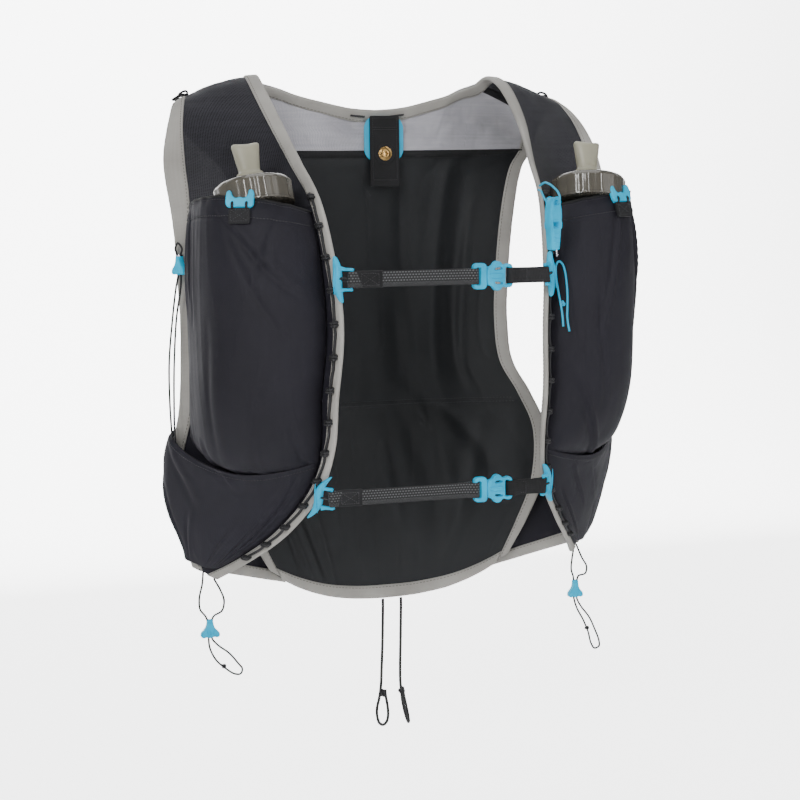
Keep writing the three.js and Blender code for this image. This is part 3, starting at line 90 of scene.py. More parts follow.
# Back from yoke seam to hem, as shares: half width, y at the edge and middle, z at the edge and middle
BACK = np.array([
    [0.774, 0.350, 0.315, -0.127, -0.129], [0.705, 0.300, 0.330, -0.167, -0.169],
    [0.653, 0.270, 0.355, -0.262, -0.262], [0.626, 0.260, 0.360, -0.367, -0.367],
    [0.616, 0.250, 0.350, -0.462, -0.462], [0.632, 0.225, 0.330, -0.542, -0.542],
    [0.705, 0.180, 0.305, -0.607, -0.607], [0.768, 0.140, 0.280, -0.682, -0.687],
    [0.747, 0.120, 0.250, -0.778, -0.800], [0.668, 0.130, 0.225, -0.860, -0.902],
    [0.574, 0.145, 0.205, -0.933, -1.004]])
# Long soft folds of the back: place across, width, from, to, depth as a share
FOLDS = [(-0.55, 0.10, 0.15, 0.65, 0.7), (-0.15, 0.09, 0.35, 0.95, -0.6), (0.18, 0.08, 0.10, 0.60, 1.0),
         (0.42, 0.09, 0.20, 0.75, -1.0), (0.62, 0.07, 0.05, 0.50, 0.8), (-0.50, 0.12, 0.65, 1.00, -0.8),
         (0.35, 0.10, 0.70, 1.00, 0.7)]
# Bottle pocket from mouth to foot: place along the strip, bulge, peak across, fullness, sag, zip room
BOTTLE = np.array([
    [0.563, 1.20, 0.40, 0.62, 0.000, 0.0], [0.540, 1.21, 0.40, 0.56, 0.000, 0.0],
    [0.490, 1.16, 0.42, 0.52, 0.000, 0.8], [0.440, 1.13, 0.44, 0.50, 0.000, 1.0],
    [0.390, 1.13, 0.45, 0.50, -0.002, 1.0], [0.345, 1.10, 0.46, 0.50, -0.006, 1.0],
    [0.305, 1.00, 0.47, 0.52, -0.012, 0.6], [0.278, 0.80, 0.48, 0.60, -0.020, 0.2],
    [0.262, 0.48, 0.48, 0.70, -0.026, 0.0], [0.255, 0.14, 0.48, 0.90, -0.030, 0.0]])
FLASK_WIDTH, FLASK_DEPTH, CAP_DIAMETER, POCKET_EASE, CAP_ROOM = 58.0, 54.0, 63.0, 0.6, 2.5
HOLLOW, FLASK_PLAY = 0.9 * DENT, 0.985
FLASK_LIFT = FLASK_DEPTH / 2 - HOLLOW + CLOTH / 2 + 2 * GAP + POCKET_EASE
CAP_LIFT = CAP_DIAMETER / 2 - HOLLOW + CLOTH / 2 + CAP_ROOM
BOTTLE_DEPTH = FLASK_LIFT + FLASK_DEPTH / 2 + POCKET_EASE - SEAT + POCKET_WALL / 2
LOWER_DEPTH = 12.0
ZIP_ROOM, OVERHANG = 5.0, 4.0


def col(table, place):
    last = len(table) - 1
    at = np.clip(np.asarray(place, float), 0, 1) * last
    low = np.minimum(at.astype(int), last - 1)
    f = (at - low)[..., None]
    p1, p2 = table[low], table[low + 1]
    p0 = np.where((low > 0)[..., None], table[np.maximum(low - 1, 0)], 2 * p1 - p2)
    p3 = np.where((low + 2 <= last)[..., None], table[np.minimum(low + 2, last)], 2 * p2 - p1)
    s1, s2 = (p2 - p0) / 2, (p3 - p1) / 2
    return p1 + s1 * f + (3 * (p2 - p1) - 2 * s1 - s2) * f ** 2 + (s1 + s2 - 2 * (p2 - p1)) * f ** 3


def unit(v):
    return v / np.maximum(np.linalg.norm(v, axis=-1, keepdims=True), 1e-12)


def arch(t):
    return np.maximum(np.sin(np.pi * np.clip(t, 0, 1)), 0)


def bump(d, w):
    return np.exp(-(d / w) ** 2)


def run_along(path):
    return np.concatenate([[0], np.cumsum(np.linalg.norm(np.diff(path, axis=0), axis=-1))])


def at_run(at, run, values):
    return np.stack([np.interp(at, run, values[:, k]) for k in range(3)], -1)


def smooth(x, a, b):
    t = np.clip((x - a) / (b - a), 0, 1)
    return t * t * (3 - 2 * t)


def strip_ends(side, t):
    r = col(STRIP, t)
    inner = r[..., 0:3] * [side * HALF, DEPTH, HEIGHT]
    outer = r[..., 3:6] * [side * HALF, DEPTH, HEIGHT]
    return inner, outer, r[..., 6:7] * DENT


def strip_out(side, t):
    t = np.asarray(t, float)
    inner, outer, _ = strip_ends(side, t)
    a, b = strip_ends(side, np.maximum(t - 0.01, 0)), strip_ends(side, np.minimum(t + 0.01, 1))
    return unit(np.cross(outer - inner, b[0] + b[1] - a[0] - a[1]) * side)


def strip(side, a, t, lift=0.0):
    inner, outer, dent = strip_ends(side, t)
    a = np.asarray(a, float)[..., None]
    return inner + (outer - inner) * a + strip_out(side, t) * (dent * 4 * a * (1 - a) + lift)


def chord(side, a, t, lift=0.0):
    inner, outer, _ = strip_ends(side, t)
    lift = np.asarray(lift, float)[..., None] if np.ndim(lift) else lift
    return inner + (outer - inner) * np.asarray(a, float)[..., None] + strip_out(side, t) * lift


def strip_width(t):
    inner, outer, _ = strip_ends(1, t)
    return np.linalg.norm(outer - inner, axis=-1)


def back(a, d):
    r = col(BACK, d)
    away = np.abs(a)
    y = (r[..., 2] + (r[..., 1] - r[..., 2]) * away ** 2) * DEPTH
    for across, width, start, end, deep in FOLDS:
        fade = bump(d - (start + end) / 2, (end - start) / 2)
        y = y + BACK_FOLD * deep * bump(a - across, width) * fade * (1 - away ** 4)
    z = (r[..., 4] + (r[..., 3] - r[..., 4]) * away ** 2.5) * HEIGHT
    return np.stack([a * r[..., 0] * HALF, y, z], -1)


def catmull(points, place):
    # place runs from 0 to 1 over the points, as evenly as their numbers
    p = np.asarray(points, float)
    n = len(p) - 1
    at = np.clip(np.asarray(place, float), 0, 1) * n
    low = np.minimum(at.astype(int), n - 1)
    f = (at - low)[..., None]
    p1, p2 = p[low], p[low + 1]
    p0 = np.where((low > 0)[..., None], p[np.maximum(low - 1, 0)], 2 * p[0] - p[1])
    p3 = np.where((low + 2 <= n)[..., None], p[np.minimum(low + 2, n)], 2 * p[n] - p[n - 1])
    d0, d1, d2 = [np.maximum(((q - r) ** 2).sum(-1, keepdims=True), 1e-12) ** 0.25
                  for q, r in ((p1, p0), (p2, p1), (p3, p2))]
    t1 = ((p1 - p0) / d0 - (p2 - p0) / (d0 + d1) + (p2 - p1) / d1) * d1
    t2 = ((p2 - p1) / d1 - (p3 - p1) / (d1 + d2) + (p3 - p2) / d2) * d1
    return p1 + t1 * f + (3 * (p2 - p1) - 2 * t1 - t2) * f ** 2 + (t1 + t2 - 2 * (p2 - p1)) * f ** 3


def neck_edge(side):
    pts = NECK * [side * HALF, DEPTH, HEIGHT]
    return np.vstack([pts, strip(side, 0.0, 1.0)[None]])


NECKS = {1: neck_edge(1), -1: neck_edge(-1)}


def yoke(a, d):
    a, d = np.broadcast_arrays(np.asarray(a, float), np.asarray(d, float))
    out = np.zeros(a.shape + (3,))
    for side in (1, -1):
        m = (a >= 0) if side == 1 else (a < 0)
        if not m.any():
            continue
        x, dd = a[m], d[m]
        away = np.abs(x)
        one = np.ones_like(away)
        top = np.where((away <= NECK_SHARE)[:, None], catmull(NECKS[side], np.minimum(away / NECK_SHARE, 1)),
                       strip(side, np.clip((away - NECK_SHARE) / (1 - NECK_SHARE), 0, 1), one))
        bottom = back(x, 0 * one)
        drop = bottom - top
        length = np.linalg.norm(drop, axis=-1, keepdims=True)
        near = smooth(away, NECK_SHARE / 2, NECK_SHARE)[:, None]
        plain = drop + [0, 4 * YOKE_BULGE, 0]
        run = unit(chord(side, 0.5, 1.0) - chord(side, 0.5, 0.97))
        start = plain + (run * 1.3 * length - plain) * near
        finish = unit(back(x, 0.05 * one) - bottom) * length
        begin = np.where(near > 0.999, SEAM_GAP / length, 0)
        t = begin + (1 - SEAM_GAP / length - begin) * dd[:, None]
        out[m] = (top * (2 * t ** 3 - 3 * t ** 2 + 1) + start * (t ** 3 - 2 * t ** 2 + t)
                  + bottom * (3 * t ** 2 - 2 * t ** 3) + finish * (t ** 3 - t ** 2))
    return out


def pocket(side, rows, depth, u, v, lift=0.0):
    u = np.clip(u, 0, 1)
    along, bulge, peak, full, sag, room = [col(rows, v)[..., i] for i in range(6)]
    along = along + sag * 4 * u * (1 - u)
    width = strip_width(along)
    outer_in = (BINDING + SEAM_GAP + POCKET_WALL / 2) / width
    inner_in = outer_in + room * ZIP_ROOM / width
    lean = room * OVERHANG / width * arch(np.minimum(2 * u, 1))
    across = inner_in + (1 - inner_in - outer_in) * u - lean
    skew = np.maximum(u, 1e-9) ** (np.log(0.5) / np.log(peak))
    rise = SEAT + depth * bulge * arch(skew) ** full
    on_panel, on_chord = strip(side, across, along), chord(side, across, along)
    blend = (arch(u) ** 0.5)[..., None]
    return on_panel + (on_chord - on_panel) * blend + strip_out(side, along) * (rise + lift)[..., None]


# Soft noise on a lattice, the same on every run
def noise(x, y, seed):
    rng = np.random.default_rng(seed)
    grid = rng.random((64, 64))
    x, y = np.asarray(x) % 64, np.asarray(y) % 64
    i, j = np.floor(x).astype(int), np.floor(y).astype(int)
    f, g = x - i, y - j
    f, g = f * f * (3 - 2 * f), g * g * (3 - 2 * g)
    a, b = grid[i % 64, j % 64], grid[(i + 1) % 64, j % 64]
    c, d = grid[i % 64, (j + 1) % 64], grid[(i + 1) % 64, (j + 1) % 64]
    return (a * (1 - f) + b * f) * (1 - g) + (c * (1 - f) + d * f) * g - 0.5


def ridge(x, y, seed):
    return (1 - 4 * np.abs(noise(x, y, seed))) ** 3


def crease(u, v, line, width, depth):
    # a fold along a line from (u0, v0) to (u1, v1): a sharp valley beside a soft crest
    u0, v0, u1, v1 = line
    du, dv = u1 - u0, v1 - v0
    length = math.hypot(du, dv)
    s = ((u - u0) * du + (v - v0) * dv) / length ** 2
    d = ((u - u0) * dv - (v - v0) * du) / length
    fade = arch(np.clip(s, 0, 1)) ** 0.7
    return depth * fade * (bump(d + width * 0.55, width * 0.5) * 0.8 - bump(d - width * 0.15, width * 0.35))


# Mesh makers
def new_object(name, verts, faces, uvs=None):
    mesh = bpy.data.meshes.new(name)
    verts = np.ascontiguousarray(verts, np.float32)
    faces = [np.asarray(f) for f in (faces if isinstance(faces, list) else [faces]) if len(f)]
    loops = np.concatenate([f.ravel() for f in faces]).astype(np.int32)
    totals = np.concatenate([np.full(len(f), f.shape[1]) for f in faces]).astype(np.int32)
    starts = np.concatenate([[0], np.cumsum(totals)[:-1]]).astype(np.int32)
    mesh.vertices.add(len(verts))
    mesh.vertices.foreach_set("co", verts.ravel())
    mesh.loops.add(len(loops))
    mesh.loops.foreach_set("vertex_index", loops)
    mesh.polygons.add(len(totals))
    mesh.polygons.foreach_set("loop_start", starts)
    mesh.update(calc_edges=True)
    mesh.polygons.foreach_set("use_smooth", np.full(len(totals), True))
    if uvs is not None:
        layer = mesh.uv_layers.new(name="uv")
        layer.data.foreach_set("uv", np.ascontiguousarray(uvs[loops], np.float32).ravel())
    mesh.validate()
    mesh.update()
    obj = bpy.data.objects.new(name, mesh)
    bpy.context.scene.collection.objects.link(obj)
    return obj


def finish(obj, material, slot, nodes=()):
    obj.data.materials.append(material)
    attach(obj, "root")
    if nodes:
        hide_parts(*([nodes] if isinstance(nodes, str) else nodes))
    return obj


def grid_quads(nu, nv, offset=0, flip=False):
    i, j = np.meshgrid(np.arange(nu - 1), np.arange(nv - 1), indexing="ij")
    a = (i * nv + j).ravel() + offset
    q = np.stack([a, a + nv, a + nv + 1, a + 1], -1)
    return q[:, ::-1] if flip else q


def grid_normals(p):
    du, dv = np.gradient(p, axis=0), np.gradient(p, axis=1)
    return unit(np.cross(du, dv))


def cloth(name, p, thickness, material, slot, nodes):
    # a sheet with both faces and its edges, from a grid of middle points in millimetres
    nu, nv = p.shape[:2]
    n = grid_normals(p)
    top, low = p + n * thickness / 2, p - n * thickness / 2
    verts = np.concatenate([top.reshape(-1, 3), low.reshape(-1, 3)]) * MM
    s = np.concatenate([np.zeros((1, nv)), np.cumsum(np.linalg.norm(np.diff(p, axis=0), axis=-1), 0)])
    t = np.concatenate([np.zeros((nu, 1)), np.cumsum(np.linalg.norm(np.diff(p, axis=1), axis=-1), 1)], 1)
    uv = np.stack([s, t], -1).reshape(-1, 2) * MM
    uvs = np.concatenate([uv, uv])
    m = nu * nv
    quads = [grid_quads(nu, nv), grid_quads(nu, nv, m, True)]
    for ids in (np.arange(nv), np.arange(nv) + (nu - 1) * nv):
        a, b = ids[:-1], ids[1:]
        quads.append(np.stack([a, b, b + m, a + m] if ids[0] == 0 else [b, a, a + m, b + m], -1))
    for ids in (np.arange(nu) * nv, np.arange(nu) * nv + nv - 1):
        a, b = ids[:-1], ids[1:]
        quads.append(np.stack([b, a, a + m, b + m] if ids[0] == 0 else [a, b, b + m, a + m], -1))
    obj = new_object(name, verts, np.concatenate(quads), uvs)
    return finish(obj, material, slot, nodes)


def ring_faces(n, k):
    # quads between n closed rings of k points, and a cap at each end
    i, j = np.meshgrid(np.arange(n - 1), np.arange(k), indexing="ij")
    a, b = (i * k + j).ravel(), (i * k + (j + 1) % k).ravel()
    return [np.stack([a, b, b + k, a + k], -1), np.arange(k)[None, ::-1], (np.arange(k) + (n - 1) * k)[None]]


def sweep(centres, xs, ys, profile):
    # rings of a profile (a along xs, b along ys) at each centre; returns vertices, faces and uvs
    prof = np.asarray(profile, float)
    if prof.ndim == 2:
        prof = np.broadcast_to(prof, (len(centres),) + prof.shape)
    ring = centres[:, None] + xs[:, None] * prof[..., 0:1] + ys[:, None] * prof[..., 1:2]
    run = run_along(centres)
    girth = run_along(prof[0])
    uv = np.stack(np.meshgrid(run, girth, indexing="ij"), -1).reshape(-1, 2) * MM
    return ring.reshape(-1, 3) * MM, ring_faces(*ring.shape[:2]), uv


def frames_along(path):
    # tangent and two side directions that turn as little as they can
    t = unit(np.gradient(path, axis=0))
    start = np.array([0, 0, 1.0]) if abs(t[0][2]) < 0.9 else np.array([0, 1.0, 0])
    n = unit(start - t[0] * (start @ t[0]))
    normals = [n]
    for k in range(1, len(path)):
        n = n - t[k] * (n @ t[k])
        n = n / np.linalg.norm(n)
        normals.append(n)
    normals = np.array(normals)
    return t, normals, np.cross(t, normals)


def resample(path, step):
    run = run_along(path)
    count = max(int(round(run[-1] / step)), 2)
    at = np.linspace(0, run[-1], count + 1)
    return at_run(at, run, path)


def round_angles(sides):
    return np.linspace(0, 2 * np.pi, sides, endpoint=False)


def join(parts):
    # several (verts, faces, uvs) as one
    verts, faces, uvs, at = [], {}, [], 0
    for v, f, u in parts:
        verts.append(v)
        uvs.append(u if u is not None else np.zeros((len(v), 2)))
        for q in (f if isinstance(f, list) else [f]):
            q = np.asarray(q)
            faces.setdefault(q.shape[1], []).append(q + at)
        at += len(v)
    return np.concatenate(verts), [np.concatenate(q) for q in faces.values()], np.concatenate(uvs)


def tube(path, radius, sides=10, step=0.8):
    path = resample(np.asarray(path, float), step)
    _, n, b = frames_along(path)
    r = np.full(len(path), radius) if np.isscalar(radius) else radius(np.linspace(0, 1, len(path)))
    a = round_angles(sides)
    prof = np.stack([np.cos(a), np.sin(a)], -1)[None] * r[:, None, None]
    return sweep(path, n, b, prof)


def loft(rings):
    # rings of equal count in millimetres, closed at both ends
    ring = np.array(rings)
    return ring.reshape(-1, 3) * MM, ring_faces(*ring.shape[:2]), None


def mend_normals(obj, angle=None):
    bm = bmesh.new()
    bm.from_mesh(obj.data)
    bmesh.ops.recalc_face_normals(bm, faces=bm.faces)
    if angle is not None:
        for e in bm.edges:
            e.smooth = len(e.link_faces) < 2 or e.calc_face_angle(0) < angle
    bm.to_mesh(obj.data)
    bm.free()
    return obj


def piece(name, data, material, slot, nodes=(), degrees=180):
    # a piece whose edges are sharp where its faces meet at more than these degrees
    obj = mend_normals(new_object(name, *data), math.radians(degrees))
    return finish(obj, M[material], slot, nodes)


def plate(outline, depth, holes=(), rim=0.6):
    # a flat outline pushed out both ways with rounded edges, in its own x and y, as an object in metres
    curve = bpy.data.curves.new("plate", "CURVE")
    curve.dimensions = "2D"
    curve.fill_mode = "BOTH"
    curve.extrude = (depth / 2 - rim) * MM
    curve.bevel_depth = rim * MM
    curve.bevel_resolution = 3
    curve.offset = -rim * MM
    for loop in [outline, *holes]:
        spline = curve.splines.new("POLY")
        spline.points.add(len(loop) - 1)
        for point, (x, y) in zip(spline.points, loop):
            point.co = (x * MM, y * MM, 0, 1)
        spline.use_cyclic_u = True
    holder = bpy.data.objects.new("plate", curve)
    bpy.context.scene.collection.objects.link(holder)
    bpy.context.view_layer.update()
    mesh = bpy.data.meshes.new_from_object(holder.evaluated_get(bpy.context.evaluated_depsgraph_get()))
    bpy.data.objects.remove(holder)
    bpy.data.curves.remove(curve)
    return mesh


def mesh_parts(mesh, m):
    co = np.zeros(len(mesh.vertices) * 3)
    mesh.vertices.foreach_get("co", co)
    co = co.reshape(-1, 3) @ m[:3, :3].T + m[:3, 3]
    groups = {}
    for p in mesh.polygons:
        groups.setdefault(len(p.vertices), []).append(list(p.vertices))
    return co, [np.array(g) for g in groups.values()], None


def basis(origin, x, y, z):
    m = np.eye(4)
    m[:3, 0], m[:3, 1], m[:3, 2], m[:3, 3] = x, y, z, np.asarray(origin) * MM
    return m


def rounded(width, height, radius, cx=0.0, cy=0.0, steps=6):
    pts = []
    for q, (sx, sy) in enumerate(((1, 1), (-1, 1), (-1, -1), (1, -1))):
        for t in np.linspace(0, 1, steps):
            a = (q + t) * np.pi / 2
            pts.append((cx + sx * (width / 2 - radius) + radius * math.cos(a),
                        cy + sy * (height / 2 - radius) + radius * math.sin(a)))
    return pts


def soften(outline, rounds=2):
    p = np.asarray(outline, float)
    for _ in range(rounds):
        q = np.roll(p, -1, 0)
        p = np.stack([p * 0.75 + q * 0.25, p * 0.25 + q * 0.75], 1).reshape(-1, 2)
    return [tuple(v) for v in p]


# Materials, all from nodes
class Nodes:
    def __init__(self, name):
        self.mat = bpy.data.materials.new(name)
        self.mat.use_nodes = True
        self.tree = self.mat.node_tree
        self.bsdf = self.tree.nodes["Principled BSDF"]
        self.out = self.tree.nodes["Material Output"]

    def add(self, kind, **values):
        node = self.tree.nodes.new(kind)
        for key, value in values.items():
            setattr(node, key, value)
        return node

    def put(self, socket, value):
        if isinstance(value, bpy.types.NodeSocket):
            self.tree.links.new(value, socket)
        else:
            socket.default_value = value

    def math(self, op, a, b=0.0, clamp=False):
        n = self.add("ShaderNodeMath", operation=op, use_clamp=clamp)
        self.put(n.inputs[0], a)
        self.put(n.inputs[1], b)
        return n.outputs[0]

    def times(self, a, b):
        return self.math("MULTIPLY", a, b)

    def plus(self, a, b, clamp=False):
        return self.math("ADD", a, b, clamp)

    def stretch(self, vector, scale):
        n = self.add("ShaderNodeMapping")
        self.put(n.inputs["Vector"], vector)
        n.inputs["Scale"].default_value = scale
        return n.outputs[0]

    def noise(self, scale, detail=3.0, vector=None, rough=0.5):
        n = self.add("ShaderNodeTexNoise")
        self.put(n.inputs["Scale"], scale)
        self.put(n.inputs["Detail"], detail)
        self.put(n.inputs["Roughness"], rough)
        if vector is not None:
            self.put(n.inputs["Vector"], vector)
        return n.outputs["Fac"]

    def uv(self):
        n = self.add("ShaderNodeUVMap", uv_map="uv")
        s = self.add("ShaderNodeSeparateXYZ")
        self.put(s.inputs[0], n.outputs[0])
        return s.outputs[0], s.outputs[1]

    def place(self):
        return self.add("ShaderNodeTexCoord").outputs["Object"]

    def wave(self, x, pitch):
        # a smooth wave from 0 to 1 of that pitch in metres
        s = self.math("SINE", self.times(x, 2 * math.pi / pitch))
        return self.plus(self.times(s, 0.5), 0.5)

    def mix(self, fac, a, b):
        n = self.add("ShaderNodeMix", data_type="RGBA")
        self.put(n.inputs[0], fac)
        self.put(n.inputs[6], a)
        self.put(n.inputs[7], b)
        return n.outputs[2]

    def spread(self, x, low, high, to_low=0.0, to_high=1.0):
        n = self.add("ShaderNodeMapRange")
        for i, v in enumerate((x, low, high, to_low, to_high)):
            self.put(n.inputs[i], v)
        return n.outputs[0]

    def bump(self, height, strength, distance, before=None):
        n = self.add("ShaderNodeBump")
        n.inputs["Strength"].default_value = strength
        n.inputs["Distance"].default_value = distance
        self.put(n.inputs["Height"], height)
        if before is not None:
            self.put(n.inputs["Normal"], before)
        return n.outputs[0]

    def set(self, **values):
        for key, value in values.items():
            self.put(self.bsdf.inputs[key.replace("_", " ")], value)
        return self.mat


def rgb(r, g, b):
    return (r, g, b, 1.0)


def woven(name, dark, light, pitch=0.0007, sheen=0.25, rough=0.75, blotch=9.0, soft=0.06):
    m = Nodes(name)
    u, v = m.uv()
    warp, weft = m.wave(u, pitch), m.wave(v, pitch)
    twill = m.wave(m.plus(u, v), pitch * 2.8)
    weave = m.plus(m.times(warp, weft), m.times(twill, 0.5))
    place = m.place()
    big = m.noise(blotch, 4.0, place)
    fine = m.noise(900.0, 2.0, place)
    fac = m.plus(m.times(weave, 0.22), m.spread(big, 0.3, 0.7, 0.1, 0.75), clamp=True)
    color = m.mix(fac, dark, light)
    wide = m.bump(m.noise(34.0, 4.0, place, 0.55), soft, 0.004)
    normal = m.bump(m.plus(weave, m.times(fine, 0.8)), 0.35, 0.00012, wide)
    return m.set(Base_Color=color, Roughness=m.spread(big, 0.3, 0.7, rough - 0.06, rough + 0.08),
                 Sheen_Weight=sheen, Sheen_Roughness=0.45, Sheen_Tint=rgb(0.55, 0.53, 0.62), Normal=normal,
                 Specular_IOR_Level=0.25)


def cross_mesh(name, dark, light, pitch, see_through=0.0, sheen=0.2, streaks=0.5):
    # open mesh cloth: rows of small holes, each row set off by half a step
    m = Nodes(name)
    u, v = m.uv()
    row = m.math("FLOOR", m.math("DIVIDE", v, pitch * 0.8))
    shift = m.times(m.math("MODULO", row, 2.0), pitch / 2)
    x = m.math("SUBTRACT", m.math("FRACT", m.math("DIVIDE", m.plus(u, shift), pitch)), 0.5)
    y = m.math("SUBTRACT", m.math("FRACT", m.math("DIVIDE", v, pitch * 0.8)), 0.5)
    d = m.math("SQRT", m.plus(m.times(x, x), m.times(y, y)))
    thread = m.spread(d, 0.18, 0.34)
    place = m.place()
    # broad noise blotches between the dark and light colours: random tone on the shoulder mesh, painted shade
    # of wrinkles on the sheer yoke
    big = m.noise(11.0, 4.0, place)
    streak = m.noise(160.0, 3.0, m.stretch(place, (0.15, 0.15, 3.0)))
    tone_and_painted_shade = m.plus(m.spread(big, 0.3, 0.7, 0.05, 0.6), m.times(streak, streaks), clamp=True)
    color = m.mix(m.times(tone_and_painted_shade, m.spread(thread, 0, 1, 0.35, 1.0)), dark, light)
    wide = m.bump(m.noise(26.0, 4.0, place, 0.55), 0.1, 0.005)
    m.set(Base_Color=color, Roughness=0.8, Sheen_Weight=sheen, Sheen_Roughness=0.4,
          Normal=m.bump(thread, 0.5, 0.0003, wide), Specular_IOR_Level=0.3)
    if see_through > 0:
        clear = m.add("ShaderNodeBsdfTransparent")
        both = m.add("ShaderNodeMixShader")
        m.put(both.inputs[0], m.times(m.math("SUBTRACT", 1.0, m.times(thread, 0.72)), see_through))
        m.tree.links.new(m.bsdf.outputs[0], both.inputs[1])
        m.tree.links.new(clear.outputs[0], both.inputs[2])
        m.tree.links.new(both.outputs[0], m.out.inputs[0])
    return m.mat


def ribbed(name, dark, light, pitch, sheen, rough=0.75):
    # bindings and tapes: fine ribs across their length
    m = Nodes(name)
    u, v = m.uv()
    ribs, threads = m.wave(u, pitch), m.wave(v, pitch * 1.3)
    weave = m.times(ribs, m.plus(m.times(threads, 0.5), 0.5))
    place = m.place()
    big = m.noise(22.0, 4.0, place)
    fac = m.plus(m.times(weave, 0.35), m.spread(big, 0.3, 0.7, 0.0, 0.7), clamp=True)
    color = m.mix(fac, dark, light)
    wide = m.bump(m.noise(120.0, 3.0, place), 0.12, 0.001)
    return m.set(Base_Color=color, Roughness=rough, Sheen_Weight=sheen, Sheen_Roughness=0.5,
                 Normal=m.bump(weave, 0.5, 0.00022, wide), Specular_IOR_Level=0.3)


def ladder(name):
    # elastic chest webbing: rows of light dashes on black
    m = Nodes(name)
    u, v = m.uv()
    rows = m.math("DIVIDE", v, 0.0021)
    dash = m.math("FRACT", m.plus(m.math("DIVIDE", u, 0.0024), m.times(m.math("FLOOR", rows), 0.5)))
    off_middle = m.math("ABSOLUTE", m.math("SUBTRACT", m.math("FRACT", rows), 0.5))
    on = m.times(m.math("GREATER_THAN", dash, 0.45), m.math("LESS_THAN", off_middle, 0.2))
    weave = m.wave(u, 0.0009)
    color = m.mix(m.times(on, 0.8), rgb(0.006, 0.006, 0.007), rgb(0.12, 0.125, 0.13))
    return m.set(Base_Color=color, Roughness=0.65, Sheen_Weight=0.04,
                 Normal=m.bump(m.plus(weave, m.times(on, 1.5)), 0.5, 0.00025))


# The emission in the light colour is a painted glow: the plastic shines though it is no lamp.
def plastic(name, dark, light, rough, painted_glow=0.0, shine=0.5):
    m = Nodes(name)
    place = m.place()
    big = m.noise(60.0, 3.0, place)
    fine = m.noise(1600.0, 2.0, place)
    return m.set(Base_Color=m.mix(m.spread(big, 0.3, 0.7), dark, light),
                 Roughness=m.spread(fine, 0.3, 0.7, rough - 0.06, rough + 0.08),
                 Specular_IOR_Level=shine, Emission_Color=light, Emission_Strength=painted_glow,
                 Normal=m.bump(fine, 0.05, 0.0002))


# The emission in the light colour is a painted glow: the cord shines though it is no lamp.
def braid(name, dark, light, painted_glow=0.0):
    m = Nodes(name)
    pitch = 0.0016
    u, v = m.uv()
    weave = m.math("MAXIMUM", m.wave(m.plus(u, v), pitch), m.wave(m.math("SUBTRACT", u, v), pitch))
    big = m.noise(140.0, 3.0, m.place())
    return m.set(Base_Color=m.mix(m.times(weave, m.spread(big, 0.2, 0.8, 0.4, 1.0)), dark, light),
                 Emission_Color=light, Emission_Strength=painted_glow,
                 Roughness=0.6, Sheen_Weight=0.04, Normal=m.bump(weave, 0.7, 0.0002))


def metal(name, dark, light, rough=0.25):
    m = Nodes(name)
    big = m.noise(300.0, 3.0, m.place())
    return m.set(Base_Color=m.mix(big, dark, light), Metallic=1.0,
                 Roughness=m.spread(big, 0.3, 0.7, rough - 0.07, rough + 0.1),
                 Normal=m.bump(big, 0.05, 0.0002))


def clear(name, tint, rough, transmission, sub=0.0, coat=0.0):
    m = Nodes(name)
    big = m.noise(45.0, 4.0, m.place())
    return m.set(Base_Color=m.mix(m.spread(big, 0.3, 0.7), tint, rgb(*[c * 0.82 for c in tint[:3]])),
                 Roughness=m.spread(big, 0.3, 0.7, rough, rough + 0.1), Normal=m.bump(big, 0.08, 0.002),
                 Transmission_Weight=transmission, IOR=1.38, Coat_Weight=coat, Coat_Roughness=0.03,
                 Subsurface_Weight=sub, Subsurface_Radius=(0.006, 0.006, 0.005))


